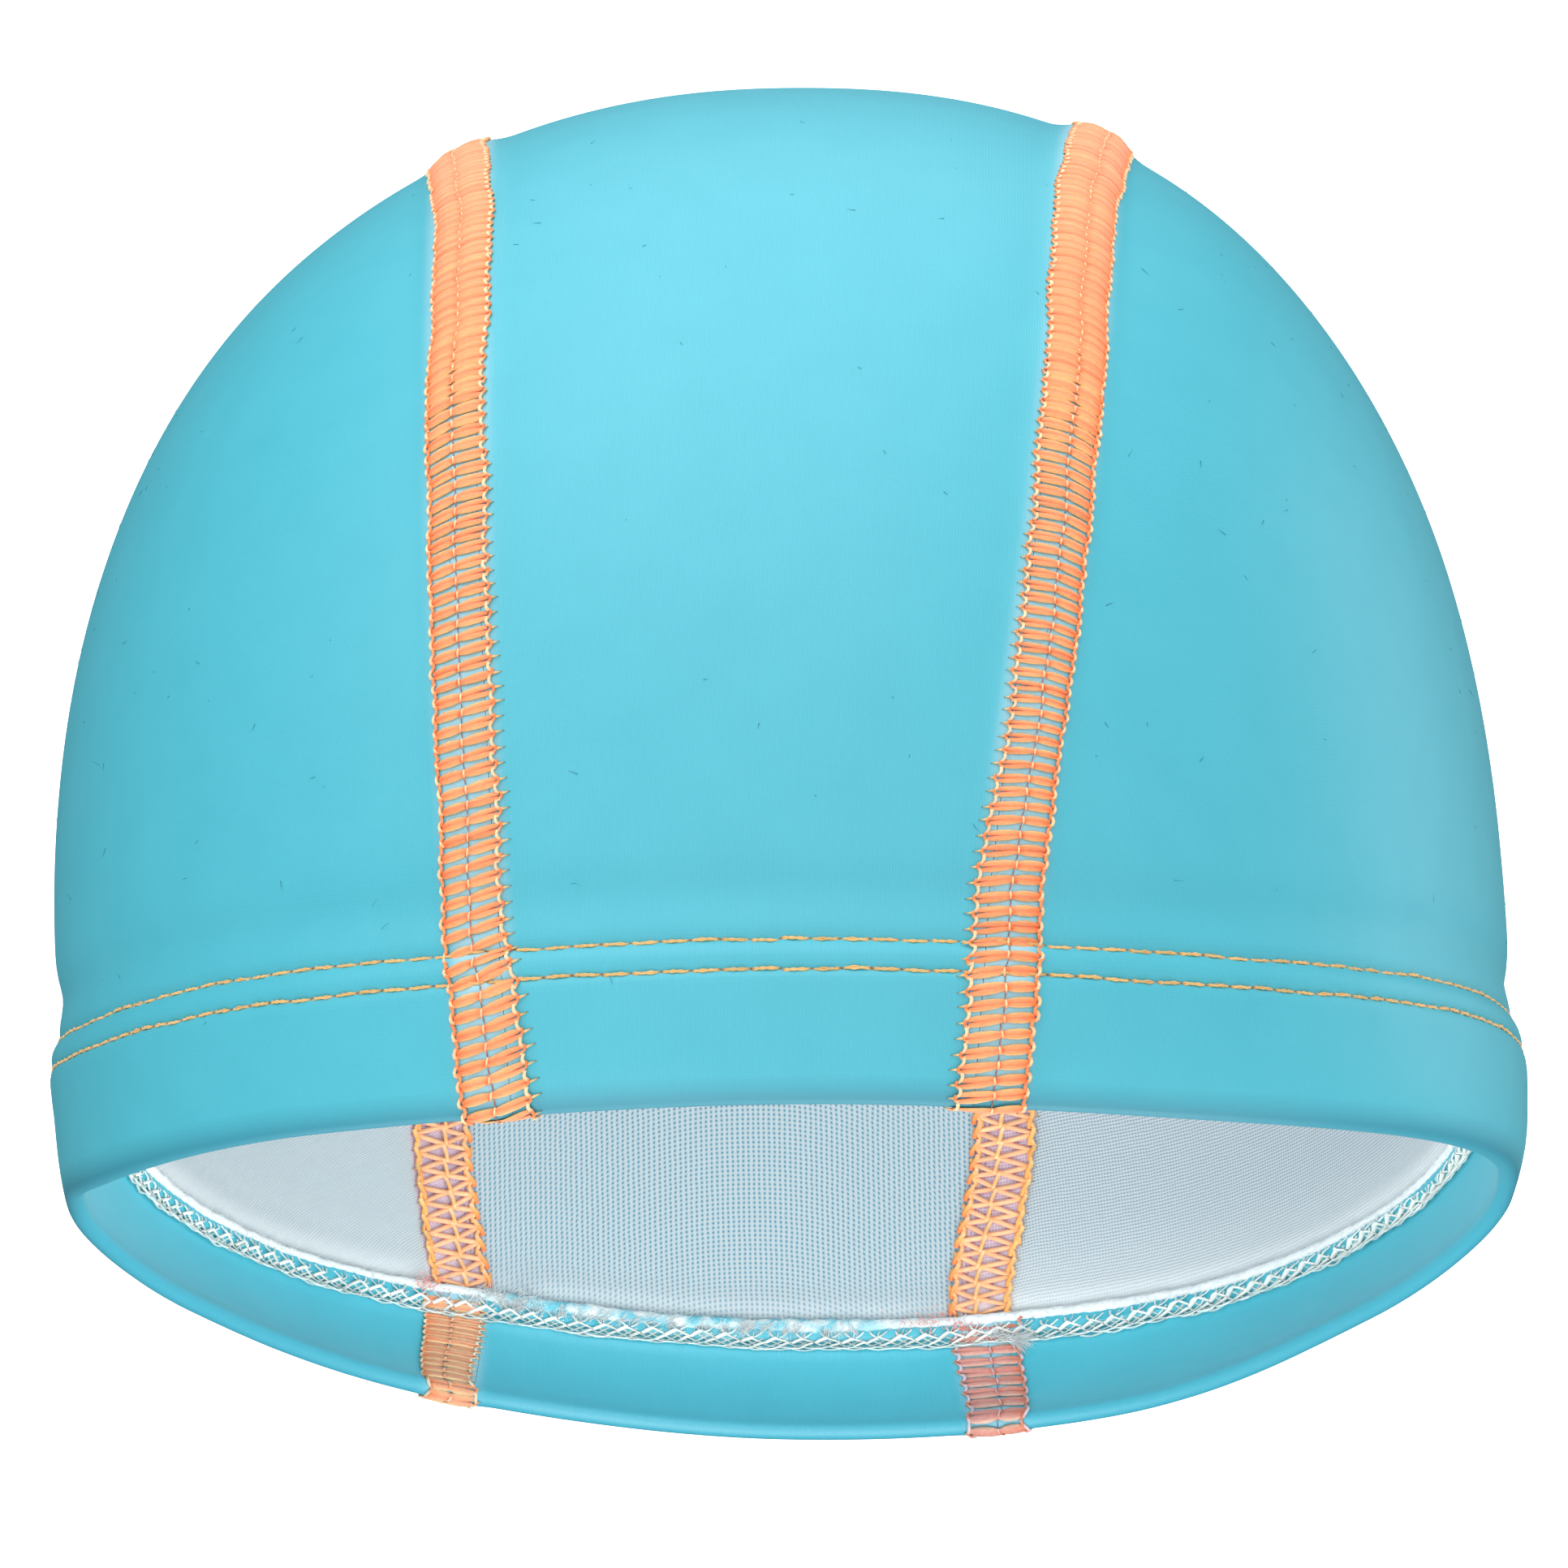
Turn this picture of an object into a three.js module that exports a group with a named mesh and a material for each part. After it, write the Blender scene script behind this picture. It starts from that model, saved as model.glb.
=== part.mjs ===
// A swim cap of coated knit cloth, in the round form that a head gives it.
// It is sewn from three panels: one from the forehead over the crown to the nape, and one over each ear.
// Two flat seams join them. Each has a thread cover outside and a thread cover inside, and the rim is a hem
// that is turned up inside.
//
// Millimetres. +Z is up, -Y is the front, +X is the wearer's left.
// The origin is the middle of the head opening, level with the rim at the ears.
import * as THREE from "three";
import { mergeVertices } from "three/addons/utils/BufferGeometryUtils.js";

// The form of the head under the cloth, measured on the cap's outside
const HALF_WIDTH = 82.3; // from the middle to the side, at the widest level
const FRONT_DEPTH = 103; // from the middle to the forehead
const BACK_DEPTH = 93; // from the middle to the back of the head
const MIDDLE_Y = 5; // the widest place is this far behind the origin
const WIDEST_HEIGHT = 22.3; // height of the widest level
const CROWN_RISE = 103.4; // from the widest level to the top
const PLAN_POWER = 2.25; // 2 is an ellipse seen from above, more is squarer
const RISE_POWER = 2.41; // the same for the form seen from the front and the side
const FOREHEAD_TAPER = 1; // how far the rim draws in under the widest level
const NAPE_TAPER = 4;
const NAPE_SPREAD = 0.77; // how far round the hem's curl at the nape reaches: 1 is straight behind, 0 the ears

// The cloth and the hem
const CLOTH = 1.1; // one thickness of the coated knit
const HEM_CLOTH = 2.3; // two thicknesses and the stitches between them
const HEM_HEIGHT = 19.4; // the turned-up edge reaches this far above the rim
const RAW_EDGE = 0.7; // the height that the turned-up edge takes to end
const NAPE_HEM = 0.7; // share of the hem's height that is left where it curls in at the nape

// The seams
const SEAM_GAP = 0.4; // between the cut edges of two panels
const SIDE_TOP_GAP = 0.1; // a side's cloth ends this far under the highest place of its seam
const SEAM_WIDTH = 6.6; // of a thread cover
const COVER_LIFT = 0.35; // from the cloth to the underside of the threads
const COVER_THICKNESS = 0.55;
const COVER_EDGE = 0.3; // thickness at the cover's edges
const COVER_END_GAP = 1; // from the inside cover's ends to the hem's edge

// How fine the faces are
const CENTRE_STEPS_ACROSS = 9;
const CENTRE_STEPS_ALONG = 40;
const SIDE_STEPS_AROUND = 24;
const SIDE_STEPS_UP = 16;
const COVER_STEPS = 44;
const TAIL_STEPS = 4;
const FOLD_STEPS = 4;
const HALVINGS = 36; // of a range, to find where the skin or the rim is met
const PROBE = 0.5; // step that tells which way the skin faces
const SEAM_PROBE = 1; // degrees either way that tell which way a seam runs
const FRONT_TURNS = [45, -12]; // degrees between which a seam meets the rim in front
const BACK_TURNS = [135, 225];

// Height of the rim, going round from the front (0) past the wearer's left ear (90) to the nape (180)
const RIM = [
  { angle: -30, height: 9.4 },
  { angle: 0, height: 12.9 },
  { angle: 30, height: 10.5 },
  { angle: 60, height: 6 },
  { angle: 90, height: -1.7 },
  { angle: 120, height: -16.9 },
  { angle: 150, height: -30.1 },
  { angle: 180, height: -33.6 },
  { angle: 210, height: -28 },
  { angle: 240, height: -16.1 },
  { angle: 270, height: -2.8 },
  { angle: 300, height: 2.7 },
  { angle: 330, height: 9.4 },
  { angle: 360, height: 12.9 },
  { angle: 390, height: 10.5 },
];

// How far the cloth is drawn sideways at each height
const LEAN = [
  { height: -20, shift: -0.6 },
  { height: 5, shift: 0.9 },
  { height: 20, shift: 0.1 },
  { height: 40, shift: -0.7 },
  { height: 70, shift: -1 },
  { height: 100, shift: -0.4 },
  { height: 127, shift: 2.3 },
];

// How far the doubled hem stands out from the head's form, by height above the rim. At the nape it curls in.
const SWELL = [
  { above: 0, round: -0.3, nape: -9.4 },
  { above: 1, round: -0.1, nape: -7.3 },
  { above: 3, round: 0.4, nape: -4.6 },
  { above: 6, round: 0.9, nape: -2.1 },
  { above: 10, round: 1.2, nape: -0.3 },
  { above: 14, round: 1.3, nape: 0.3 },
  { above: 19, round: 0, nape: 0.2 },
  { above: 26, round: 0, nape: 0 },
];

// Where the two seams run. The turn goes from straight ahead (0) over the crown (90) to the back (180).
const SEAM = [
  { turn: -8, right: -30.2, left: 21.4 },
  { turn: 10, right: -32.4, left: 24 },
  { turn: 30, right: -34.2, left: 28.6 },
  { turn: 47, right: -34.9, left: 31.4 },
  { turn: 65, right: -35.4, left: 33.3 },
  { turn: 90, right: -36.2, left: 35.8 },
  { turn: 120, right: -38.5, left: 36 },
  { turn: 150, right: -41.5, left: 32.5 },
  { turn: 175, right: -42.8, left: 29 },
  { turn: 193, right: -42.3, left: 27 },
  { turn: 205, right: -40, left: 24.3 },
  { turn: 216, right: -40.4, left: 26 },
];

// The wall from the rim upwards: how deep its outer and inner faces lie under the skin.
// At the rim the cloth goes round a fold instead, by degrees from straight out.
const HALF_HEM = HEM_CLOTH / 2;
const WALL = [
  { above: HALF_HEM, fold: 90 },
  { above: HALF_HEM, fold: 45 },
  { above: HALF_HEM, outer: 0, inner: HEM_CLOTH },
  { above: 4, outer: 0, inner: HEM_CLOTH },
  { above: 9, outer: 0, inner: HEM_CLOTH },
  { above: 14, outer: 0, inner: HEM_CLOTH },
  { above: HEM_HEIGHT - RAW_EDGE, outer: 0, inner: HEM_CLOTH },
  { above: HEM_HEIGHT, outer: 0, inner: CLOTH },
];

// A smooth curve through one column of a table, at x of its first-named column.
function through(table, at, column, x) {
  const last = table.length - 1;
  let i = 0;
  while (i < last - 1 && x > table[i + 1][at]) i += 1;
  const [a, b] = [table[i], table[i + 1]];
  const before = table[Math.max(i - 1, 0)];
  const after = table[Math.min(i + 2, last)];
  const span = b[at] - a[at];
  const t = THREE.MathUtils.clamp((x - a[at]) / span, 0, 1);
  const slopeA = ((b[column] - before[column]) / (b[at] - before[at])) * span;
  const slopeB = ((after[column] - a[column]) / (after[at] - a[at])) * span;
  const rise = b[column] - a[column];
  return a[column] + t * slopeA + t * t * (3 * rise - 2 * slopeA - slopeB) + t * t * t * (slopeA + slopeB - 2 * rise);
}

// The place between low and high where a test stops being true.
function lastTrue(low, high, test) {
  for (let i = 0; i < HALVINGS; i += 1) {
    const middle = (low + high) / 2;
    if (test(middle)) low = middle;
    else high = middle;
  }
  return (low + high) / 2;
}

const degrees = THREE.MathUtils.radToDeg;
const radians = THREE.MathUtils.degToRad;
const lerp = THREE.MathUtils.lerp;
const steps = (count) => Array.from({ length: count + 1 }, (_, i) => i / count);

function rimHeight(around) {
  return through(RIM, "angle", "height", (degrees(around) + 720) % 360);
}

// 1 where the hem curls in behind, 0 from the ears forward.
function napeShare(around) {
  return THREE.MathUtils.smoothstep(-Math.cos(around), 0, NAPE_SPREAD);
}

// The level of a line that is sewn parallel to the rim.
function hemLevel(around, above) {
  return rimHeight(around) + above * lerp(1, NAPE_HEM, napeShare(around));
}

// Distance from the upright axis to the skin.
function skinRadius(around, height) {
  const forward = Math.cos(around);
  const across = Math.abs(Math.sin(around)) / HALF_WIDTH;
  const along = Math.abs(forward) / (forward > 0 ? FRONT_DEPTH : BACK_DEPTH);
  const plan = (across ** PLAN_POWER + along ** PLAN_POWER) ** (-1 / PLAN_POWER);
  const up = Math.max(0, (height - WIDEST_HEIGHT) / CROWN_RISE);
  const shrink = Math.max(0, 1 - up ** RISE_POWER) ** (1 / PLAN_POWER);
  const rim = rimHeight(around);
  const down = Math.max(0, (WIDEST_HEIGHT - height) / (WIDEST_HEIGHT - rim));
  const taper = (forward > 0 ? FOREHEAD_TAPER : NAPE_TAPER) * forward ** 2 * down ** 2;
  const swell = ["round", "nape"].map((column) => through(SWELL, "above", column, height - rim));
  return plan * shrink - taper + lerp(...swell, napeShare(around));
}

function skinPoint(around, height) {
  const radius = skinRadius(around, height);
  const x = through(LEAN, "height", "shift", height) + radius * Math.sin(around);
  return new THREE.Vector3(x, MIDDLE_Y - radius * Math.cos(around), height);
}

function aroundOf(p) {
  return Math.atan2(p.x - through(LEAN, "height", "shift", p.z), MIDDLE_Y - p.y);
}

// How far a point is outside the skin, seen from the upright axis.
function outside(p) {
  const x = p.x - through(LEAN, "height", "shift", p.z);
  return Math.hypot(x, p.y - MIDDLE_Y) - skinRadius(aroundOf(p), p.z);
}

// How fast the distance outside grows along each axis.
function growth(p) {
  const slope = (axis) => {
    const ahead = p.clone();
    const behind = p.clone();
    ahead[axis] += PROBE;
    behind[axis] -= PROBE;
    return (outside(ahead) - outside(behind)) / (2 * PROBE);
  };
  return new THREE.Vector3(slope("x"), slope("y"), slope("z"));
}

function outward(p) {
  return growth(p).normalize();
}

// The place on the skin that is nearest to a point close to it.
function ontoSkin(p) {
  const way = growth(p);
  return p.clone().addScaledVector(way, -outside(p) / way.lengthSq());
}

// The place under a point of the skin, square to the cloth.
function under(p, depth) {
  return p.clone().addScaledVector(outward(p), -depth);
}

// A place on the fold, for a point of the skin beside it: turned 0 is outside, 90 the rim itself, 180 inside.
function roundFold(p, turned, lift) {
  const middle = under(p, HALF_HEM);
  const out = outward(middle);
  const down = new THREE.Vector3(0, 0, -1);
  down.addScaledVector(out, -down.dot(out)).normalize();
  const way = out.multiplyScalar(Math.cos(turned)).addScaledVector(down, Math.sin(turned));
  return middle.addScaledVector(way, HALF_HEM + lift);
}

// The outer and inner faces of the wall at a row, for a point of the skin.
function outerFace(p, row) {
  return row.fold ? roundFold(p, radians(row.fold), 0) : under(p, row.outer);
}

function innerFace(p, row) {
  return row.fold ? roundFold(p, radians(180 - row.fold), 0) : under(p, row.inner);
}

// The point at x that is seen from the middle of the head at a turn from straight ahead.
function turnedPoint(x, turn) {
  const at = (reach) =>
    new THREE.Vector3(
      x,
      MIDDLE_Y - reach * Math.cos(turn),
      WIDEST_HEIGHT + reach * Math.sin(turn),
    );
  const top = WIDEST_HEIGHT + CROWN_RISE;
  return at(lastTrue(0, 2 * FRONT_DEPTH, (reach) => at(reach).z < top && outside(at(reach)) < 0));
}

// A point of the middle panel's cloth: across goes from the right seam (0) to the left seam (1).
function centrePoint(across, turn) {
  const right = through(SEAM, "turn", "right", degrees(turn)) + SEAM_GAP / 2;
  const left = through(SEAM, "turn", "left", degrees(turn)) - SEAM_GAP / 2;
  return turnedPoint(lerp(right, left, across), turn);
}

function seamPoint(side, turn) {
  return turnedPoint(through(SEAM, "turn", side, degrees(turn)), turn);
}

// The turn at which a path of points over the crown meets a line in the hem, in front or behind.
function turnAbove(path, above, behind) {
  const [high, low] = (behind ? BACK_TURNS : FRONT_TURNS).map(radians);
  return lastTrue(high, low, (turn) => {
    const p = path(turn);
    return p.z > hemLevel(aroundOf(p), above);
  });
}

// The turns of a path over the crown: those of the hem's rows in front, even steps, and the hem's rows behind.
function turnsOver(path, hemRows, count) {
  const front = hemRows.map((w) => turnAbove(path, w.above, false));
  const back = hemRows.map((w) => turnAbove(path, w.above, true));
  const over = steps(count).slice(1, -1).map((t) => lerp(front.at(-1), back.at(-1), t));
  return [...front, ...over, ...back.reverse()];
}

// A closed wall between two grids of points that share their rows and columns.
function wall(outer, inner) {
  const rows = outer.length;
  const columns = outer[0].length;
  const corner = (face, i, j) => (face * rows + i) * columns + j;
  const points = [...outer, ...inner].flat().flatMap((p) => [p.x, p.y, p.z]);
  const faces = [];
  const quad = (a, b, c, d) => faces.push(a, b, c, a, c, d);
  for (let i = 0; i < rows - 1; i += 1) {
    for (let j = 0; j < columns - 1; j += 1) {
      quad(corner(0, i, j), corner(0, i, j + 1), corner(0, i + 1, j + 1), corner(0, i + 1, j));
      quad(corner(1, i, j), corner(1, i + 1, j), corner(1, i + 1, j + 1), corner(1, i, j + 1));
    }
    const end = columns - 1;
    quad(corner(0, i, 0), corner(0, i + 1, 0), corner(1, i + 1, 0), corner(1, i, 0));
    quad(corner(0, i, end), corner(1, i, end), corner(1, i + 1, end), corner(0, i + 1, end));
  }
  for (let j = 0; j < columns - 1; j += 1) {
    const end = rows - 1;
    quad(corner(0, 0, j), corner(1, 0, j), corner(1, 0, j + 1), corner(0, 0, j + 1));
    quad(corner(0, end, j), corner(0, end, j + 1), corner(1, end, j + 1), corner(1, end, j));
  }
  const loose = new THREE.BufferGeometry();
  loose.setAttribute("position", new THREE.Float32BufferAttribute(points, 3));
  loose.setIndex(faces);
  const merged = mergeVertices(loose, 1e-3);
  merged.setIndex(realFaces([...merged.index.array]));
  merged.computeVertexNormals();
  return merged;
}

// The triangles that still have three different corners.
function realFaces(corners) {
  const kept = [];
  for (let i = 0; i < corners.length; i += 3) {
    const [a, b, c] = corners.slice(i, i + 3);
    if (a !== b && b !== c && c !== a) kept.push(a, b, c);
  }
  return kept;
}

function centrePanel() {
  const bare = Array(CENTRE_STEPS_ALONG - 1).fill({ outer: 0, inner: CLOTH });
  const rows = [...WALL, ...bare, ...[...WALL].reverse()];
  const columns = steps(CENTRE_STEPS_ACROSS).map((across) => {
    const path = (turn) => centrePoint(across, turn);
    const skin = turnsOver(path, WALL, CENTRE_STEPS_ALONG).map(path);
    return {
      outer: skin.map((p, i) => outerFace(p, rows[i])),
      inner: skin.map((p, i) => innerFace(p, rows[i])),
    };
  });
  const turnRound = (grid) => grid[0].map((_, i) => grid.map((column) => column[i]));
  return wall(turnRound(columns.map((c) => c.outer)), turnRound(columns.map((c) => c.inner)));
}

// One side: rings of cloth from the rim up to the highest place of its seam.
function sidePanel(side) {
  const sign = side === "left" ? 1 : -1;
  const ear = sign * radians(90);
  const top = seamPoint(side, radians(90)).z - SIDE_TOP_GAP;
  const beyondSeam = (p) => {
    const turn = Math.atan2(p.z - WIDEST_HEIGHT, MIDDLE_Y - p.y);
    const unwound = turn < -Math.PI / 2 ? turn + 2 * Math.PI : turn;
    const seam = through(SEAM, "turn", side, degrees(unwound));
    return sign * (p.x - seam) > SEAM_GAP / 2;
  };
  const ring = (heightAt) => {
    const inPanel = (around) => beyondSeam(skinPoint(around, heightAt(around)));
    const front = lastTrue(ear, 0, inPanel);
    const back = lastTrue(ear, 2 * ear, inPanel);
    return steps(SIDE_STEPS_AROUND).map((t) => {
      const around = sign > 0 ? lerp(front, back, t) : lerp(back, front, t);
      return skinPoint(around, heightAt(around));
    });
  };
  const rows = WALL.map((w) => ({ ...w, height: (around) => hemLevel(around, w.above) }));
  for (const t of steps(SIDE_STEPS_UP).slice(1)) {
    const rise = Math.sin(t * radians(90));
    const height = (around) => lerp(hemLevel(around, HEM_HEIGHT), top, rise);
    rows.push({ outer: 0, inner: CLOTH, height });
  }
  const skin = rows.map((r) => ring(r.height));
  return wall(
    skin.map((points, i) => points.map((p) => outerFace(p, rows[i]))),
    skin.map((points, i) => points.map((p) => innerFace(p, rows[i]))),
  );
}

// A place beside a seam, at an offset across it and a lift above the cloth's outside.
function besideSeam(side, turn) {
  const small = radians(SEAM_PROBE);
  const skin = seamPoint(side, turn);
  const along = seamPoint(side, turn + small).sub(seamPoint(side, turn - small));
  const sideways = along.cross(outward(skin)).normalize();
  return (offset, lift) => under(ontoSkin(skin.clone().addScaledVector(sideways, offset)), -lift);
}

// The same beside a seam in the hem, where a row runs parallel to a rim that slopes.
function besideSeamAbove(side, above, behind) {
  const at = besideSeam(side, turnAbove((turn) => seamPoint(side, turn), above, behind));
  return (offset, lift) => {
    const around = aroundOf(at(offset, 0));
    return under(skinPoint(around, hemLevel(around, above)), -lift);
  };
}

// A thread cover: a thin crowned strip. Each row gives a place for an offset and a lift above its own cloth.
function threadCover(rows) {
  const half = SEAM_WIDTH / 2;
  return wall(
    rows.map((at) => [
      at(-half, COVER_LIFT + COVER_EDGE),
      at(0, COVER_LIFT + COVER_THICKNESS),
      at(half, COVER_LIFT + COVER_EDGE),
    ]),
    rows.map((at) => [at(-half, COVER_LIFT), at(0, COVER_LIFT), at(half, COVER_LIFT)]),
  );
}

// Even steps along a seam, between two places that are a height above the rim.
function overCrown(side, above) {
  const path = (turn) => seamPoint(side, turn);
  const from = turnAbove(path, above, false);
  const to = turnAbove(path, above, true);
  return steps(COVER_STEPS).map((t) => besideSeam(side, lerp(from, to, t)));
}

// The outside cover runs from the hem's inner edge round the fold, over the crown, round the fold and up again.
function outsideCover(side) {
  const tail = (behind) => {
    const upInside = steps(TAIL_STEPS).map((t) => {
      const at = besideSeamAbove(side, lerp(HEM_HEIGHT - COVER_END_GAP, HALF_HEM, t), behind);
      return (offset, lift) => at(offset, -HEM_CLOTH - lift);
    });
    const foldAt = besideSeamAbove(side, HALF_HEM, behind);
    const round = steps(FOLD_STEPS).slice(1, -1).map((t) => (offset, lift) => {
      return roundFold(foldAt(offset, 0), radians(180 * (1 - t)), lift);
    });
    const hemRows = WALL.filter((w) => !w.fold);
    return [...upInside, ...round, ...hemRows.map((w) => besideSeamAbove(side, w.above, behind))];
  };
  const over = overCrown(side, HEM_HEIGHT).slice(1, -1);
  return threadCover([...tail(false), ...over, ...tail(true).reverse()]);
}

// The inside cover lies on the lining side, from the hem in front to the hem at the nape.
function insideCover(side) {
  const rows = overCrown(side, HEM_HEIGHT + COVER_END_GAP);
  return threadCover(rows.map((at) => (offset, lift) => at(-offset, -CLOTH - lift)));
}

const coatedKnit = new THREE.MeshStandardMaterial({ color: 0x62c4d6, roughness: 0.5, metalness: 0 });
const coverThread = new THREE.MeshStandardMaterial({ color: 0xf58c5a, roughness: 0.75, metalness: 0 });

const cap = new THREE.Group();
function add(name, geometry, material) {
  const mesh = new THREE.Mesh(geometry, material);
  mesh.name = name;
  cap.add(mesh);
}

add("centre_panel", centrePanel(), coatedKnit);
for (const side of ["left", "right"]) {
  add(`${side}_side_panel`, sidePanel(side), coatedKnit);
  add(`${side}_seam_cover`, outsideCover(side), coverThread);
  add(`${side}_seam_inside`, insideCover(side), coverThread);
}

export default cap;
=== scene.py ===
# %% [markdown]
# A swim cap of coated knit cloth, in the round form that a head gives it.
# Three panels of cloth are joined by two flat seams, and the rim is a hem that is turned up inside.
# The modelled part gives the places. Here every panel becomes real cloth with a lining and a raw edge,
# and every seam becomes the loops of thread that hold it.

# %% Load the frame
import math
import bpy
import numpy as np
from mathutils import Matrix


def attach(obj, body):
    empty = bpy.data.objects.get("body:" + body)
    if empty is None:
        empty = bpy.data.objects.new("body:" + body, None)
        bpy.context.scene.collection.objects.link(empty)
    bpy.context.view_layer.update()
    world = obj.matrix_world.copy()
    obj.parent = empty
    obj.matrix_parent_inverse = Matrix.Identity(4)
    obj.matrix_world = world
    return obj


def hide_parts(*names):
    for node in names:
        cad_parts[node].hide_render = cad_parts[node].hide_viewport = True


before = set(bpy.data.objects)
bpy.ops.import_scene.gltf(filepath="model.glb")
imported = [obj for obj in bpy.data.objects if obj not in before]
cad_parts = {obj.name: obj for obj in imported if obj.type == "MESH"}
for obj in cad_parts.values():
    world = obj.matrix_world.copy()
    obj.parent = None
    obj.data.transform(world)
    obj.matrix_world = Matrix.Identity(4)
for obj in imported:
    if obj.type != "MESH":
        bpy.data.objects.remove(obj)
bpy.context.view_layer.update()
MM = 0.001
print("nodes:", sorted(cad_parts))

# %% [markdown]
# The camera comes first, because every later choice is judged through it.
# A long lens stands level, 1.2 m in front of the cap, so that the front of the rim and the inside of the nape
# both show. The frame is square.

# %% Camera
camera_data = bpy.data.cameras.new("camera")
camera = bpy.data.objects.new("camera", camera_data)
bpy.context.scene.collection.objects.link(camera)
camera.location = (0, -1.2, 0.0468)
camera.rotation_euler = (math.radians(90), 0, 0)
camera_data.sensor_width = 36
camera_data.lens = 242.78
camera_data.clip_end = 20
bpy.context.scene.camera = camera
print("lens", camera_data.lens)

# %% [markdown]
# The form under the cloth is a rounded block that draws in towards the crown.
# It could be sculpted, but a formula is smoother, and it tells every other piece where the cloth is and which
# way it faces. Each table is a smooth curve: a place, and the size there in millimetres.
# Places go round the head in radians, from 0 straight ahead towards the wearer's left.

# %% Sizes of the form of the head under the cloth
HALF_WIDTH = 82.3
FRONT_DEPTH = 103
BACK_DEPTH = 93
MIDDLE_Y = 5
WIDEST_HEIGHT = 22.3
CROWN_RISE = 103.4
PLAN_POWER = 2.25
RISE_POWER = 2.41
FOREHEAD_TAPER = 1
NAPE_TAPER = 4
NAPE_SPREAD = 0.77
NAPE_HEM = 0.7

# degrees from the front towards the wearer's left: height of the rim
RIM = [(-30, 9.4), (0, 12.9), (30, 10.5), (60, 6), (90, -1.7), (120, -16.9), (150, -30.1), (180, -33.6),
       (210, -28), (240, -16.1), (270, -2.8), (300, 2.7), (330, 9.4), (360, 12.9), (390, 10.5)]
# height: how far the cloth is drawn sideways
LEAN = [(-20, -0.6), (5, 0.9), (20, 0.1), (40, -0.7), (70, -1), (100, -0.4), (127, 2.3)]
# height above the rim: how far the hem stands out, round the sides and at the nape
SWELL_ROUND = [(0, -0.3), (1, -0.1), (3, 0.4), (6, 0.9), (10, 1.2), (14, 1.3), (19, 0), (26, 0)]
SWELL_NAPE = [(0, -9.4), (1, -7.3), (3, -4.6), (6, -2.1), (10, -0.3), (14, 0.3), (19, 0.2), (26, 0)]

# %% Smooth curves through tables
def through(table, x):
    """A smooth curve through the rows of a table, read at x."""
    places, values = np.array(table, float).T
    x = np.asarray(x, float)
    last = len(places) - 1
    i = np.clip(np.searchsorted(places, x) - 1, 0, last - 1)
    before = np.maximum(i - 1, 0)
    after = np.minimum(i + 2, last)
    span = places[i + 1] - places[i]
    t = np.clip((x - places[i]) / span, 0, 1)
    slope_a = (values[i + 1] - values[before]) / (places[i + 1] - places[before]) * span
    slope_b = (values[after] - values[i]) / (places[after] - places[i]) * span
    rise = values[i + 1] - values[i]
    bend = t * t * (3 * rise - 2 * slope_a - slope_b) + t ** 3 * (slope_a + slope_b - 2 * rise)
    return values[i] + t * slope_a + bend


def ease(x, low, high):
    """0 below low, 1 above high, and a smooth rise between."""
    t = np.clip((np.asarray(x, float) - low) / (high - low), 0, 1)
    return t * t * (3 - 2 * t)


def mix(a, b, t):
    return a + (b - a) * t


def unit(way):
    return way / np.linalg.norm(way, axis=-1, keepdims=True)


def arc_lengths(points, axis=0):
    """Distances along rows of points, from 0 at the first point."""
    steps = np.linalg.norm(np.diff(points, axis=axis), axis=-1)
    return np.concatenate([np.zeros_like(np.take(steps, [0], axis)), np.cumsum(steps, axis=axis)], axis=axis)


# %% The surface of the form
def rim_height(around):
    return through(RIM, np.degrees(around) % 360)


def nape_share(around):
    return ease(-np.cos(around), 0, NAPE_SPREAD)


def hem_share(around):
    """How much of its height in front the hem keeps, because it curls in at the nape."""
    return mix(1, NAPE_HEM, nape_share(around))


def hem_level(around, above):
    """The level of a line that is sewn parallel to the rim."""
    return rim_height(around) + above * hem_share(around)


def skin_radius(around, height):
    forward = np.cos(around)
    across = np.abs(np.sin(around)) / HALF_WIDTH
    along = np.abs(forward) / np.where(forward > 0, FRONT_DEPTH, BACK_DEPTH)
    plan = (across ** PLAN_POWER + along ** PLAN_POWER) ** (-1 / PLAN_POWER)
    up = np.maximum(0, (height - WIDEST_HEIGHT) / CROWN_RISE)
    shrink = np.maximum(0, 1 - up ** RISE_POWER) ** (1 / PLAN_POWER)
    rim = rim_height(around)
    down = np.maximum(0, (WIDEST_HEIGHT - height) / (WIDEST_HEIGHT - rim))
    taper = np.where(forward > 0, FOREHEAD_TAPER, NAPE_TAPER) * forward ** 2 * down ** 2
    swell = mix(through(SWELL_ROUND, height - rim), through(SWELL_NAPE, height - rim), nape_share(around))
    return plan * shrink - taper + swell


def skin_point(around, height):
    radius = skin_radius(around, height)
    x = through(LEAN, height) + radius * np.sin(around)
    return np.stack([x, MIDDLE_Y - radius * np.cos(around), height + 0 * radius], -1)


def around_of(p):
    return np.arctan2(p[..., 0] - through(LEAN, p[..., 2]), MIDDLE_Y - p[..., 1])


def above_rim(p):
    """How far up from the rim a point is, as hem_level counts it."""
    around = around_of(p)
    return (p[..., 2] - rim_height(around)) / hem_share(around)


def outside(p):
    """How far a point is outside the cloth, seen from the upright axis."""
    x = p[..., 0] - through(LEAN, p[..., 2])
    return np.hypot(x, p[..., 1] - MIDDLE_Y) - skin_radius(around_of(p), p[..., 2])


def growth(p):
    """How fast the distance outside grows along each axis."""
    slopes = []
    for axis in range(3):
        step = np.zeros(3)
        step[axis] = 0.5
        slopes.append(outside(p + step) - outside(p - step))
    return np.stack(slopes, -1)


def outward(p):
    return unit(growth(p))


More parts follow.
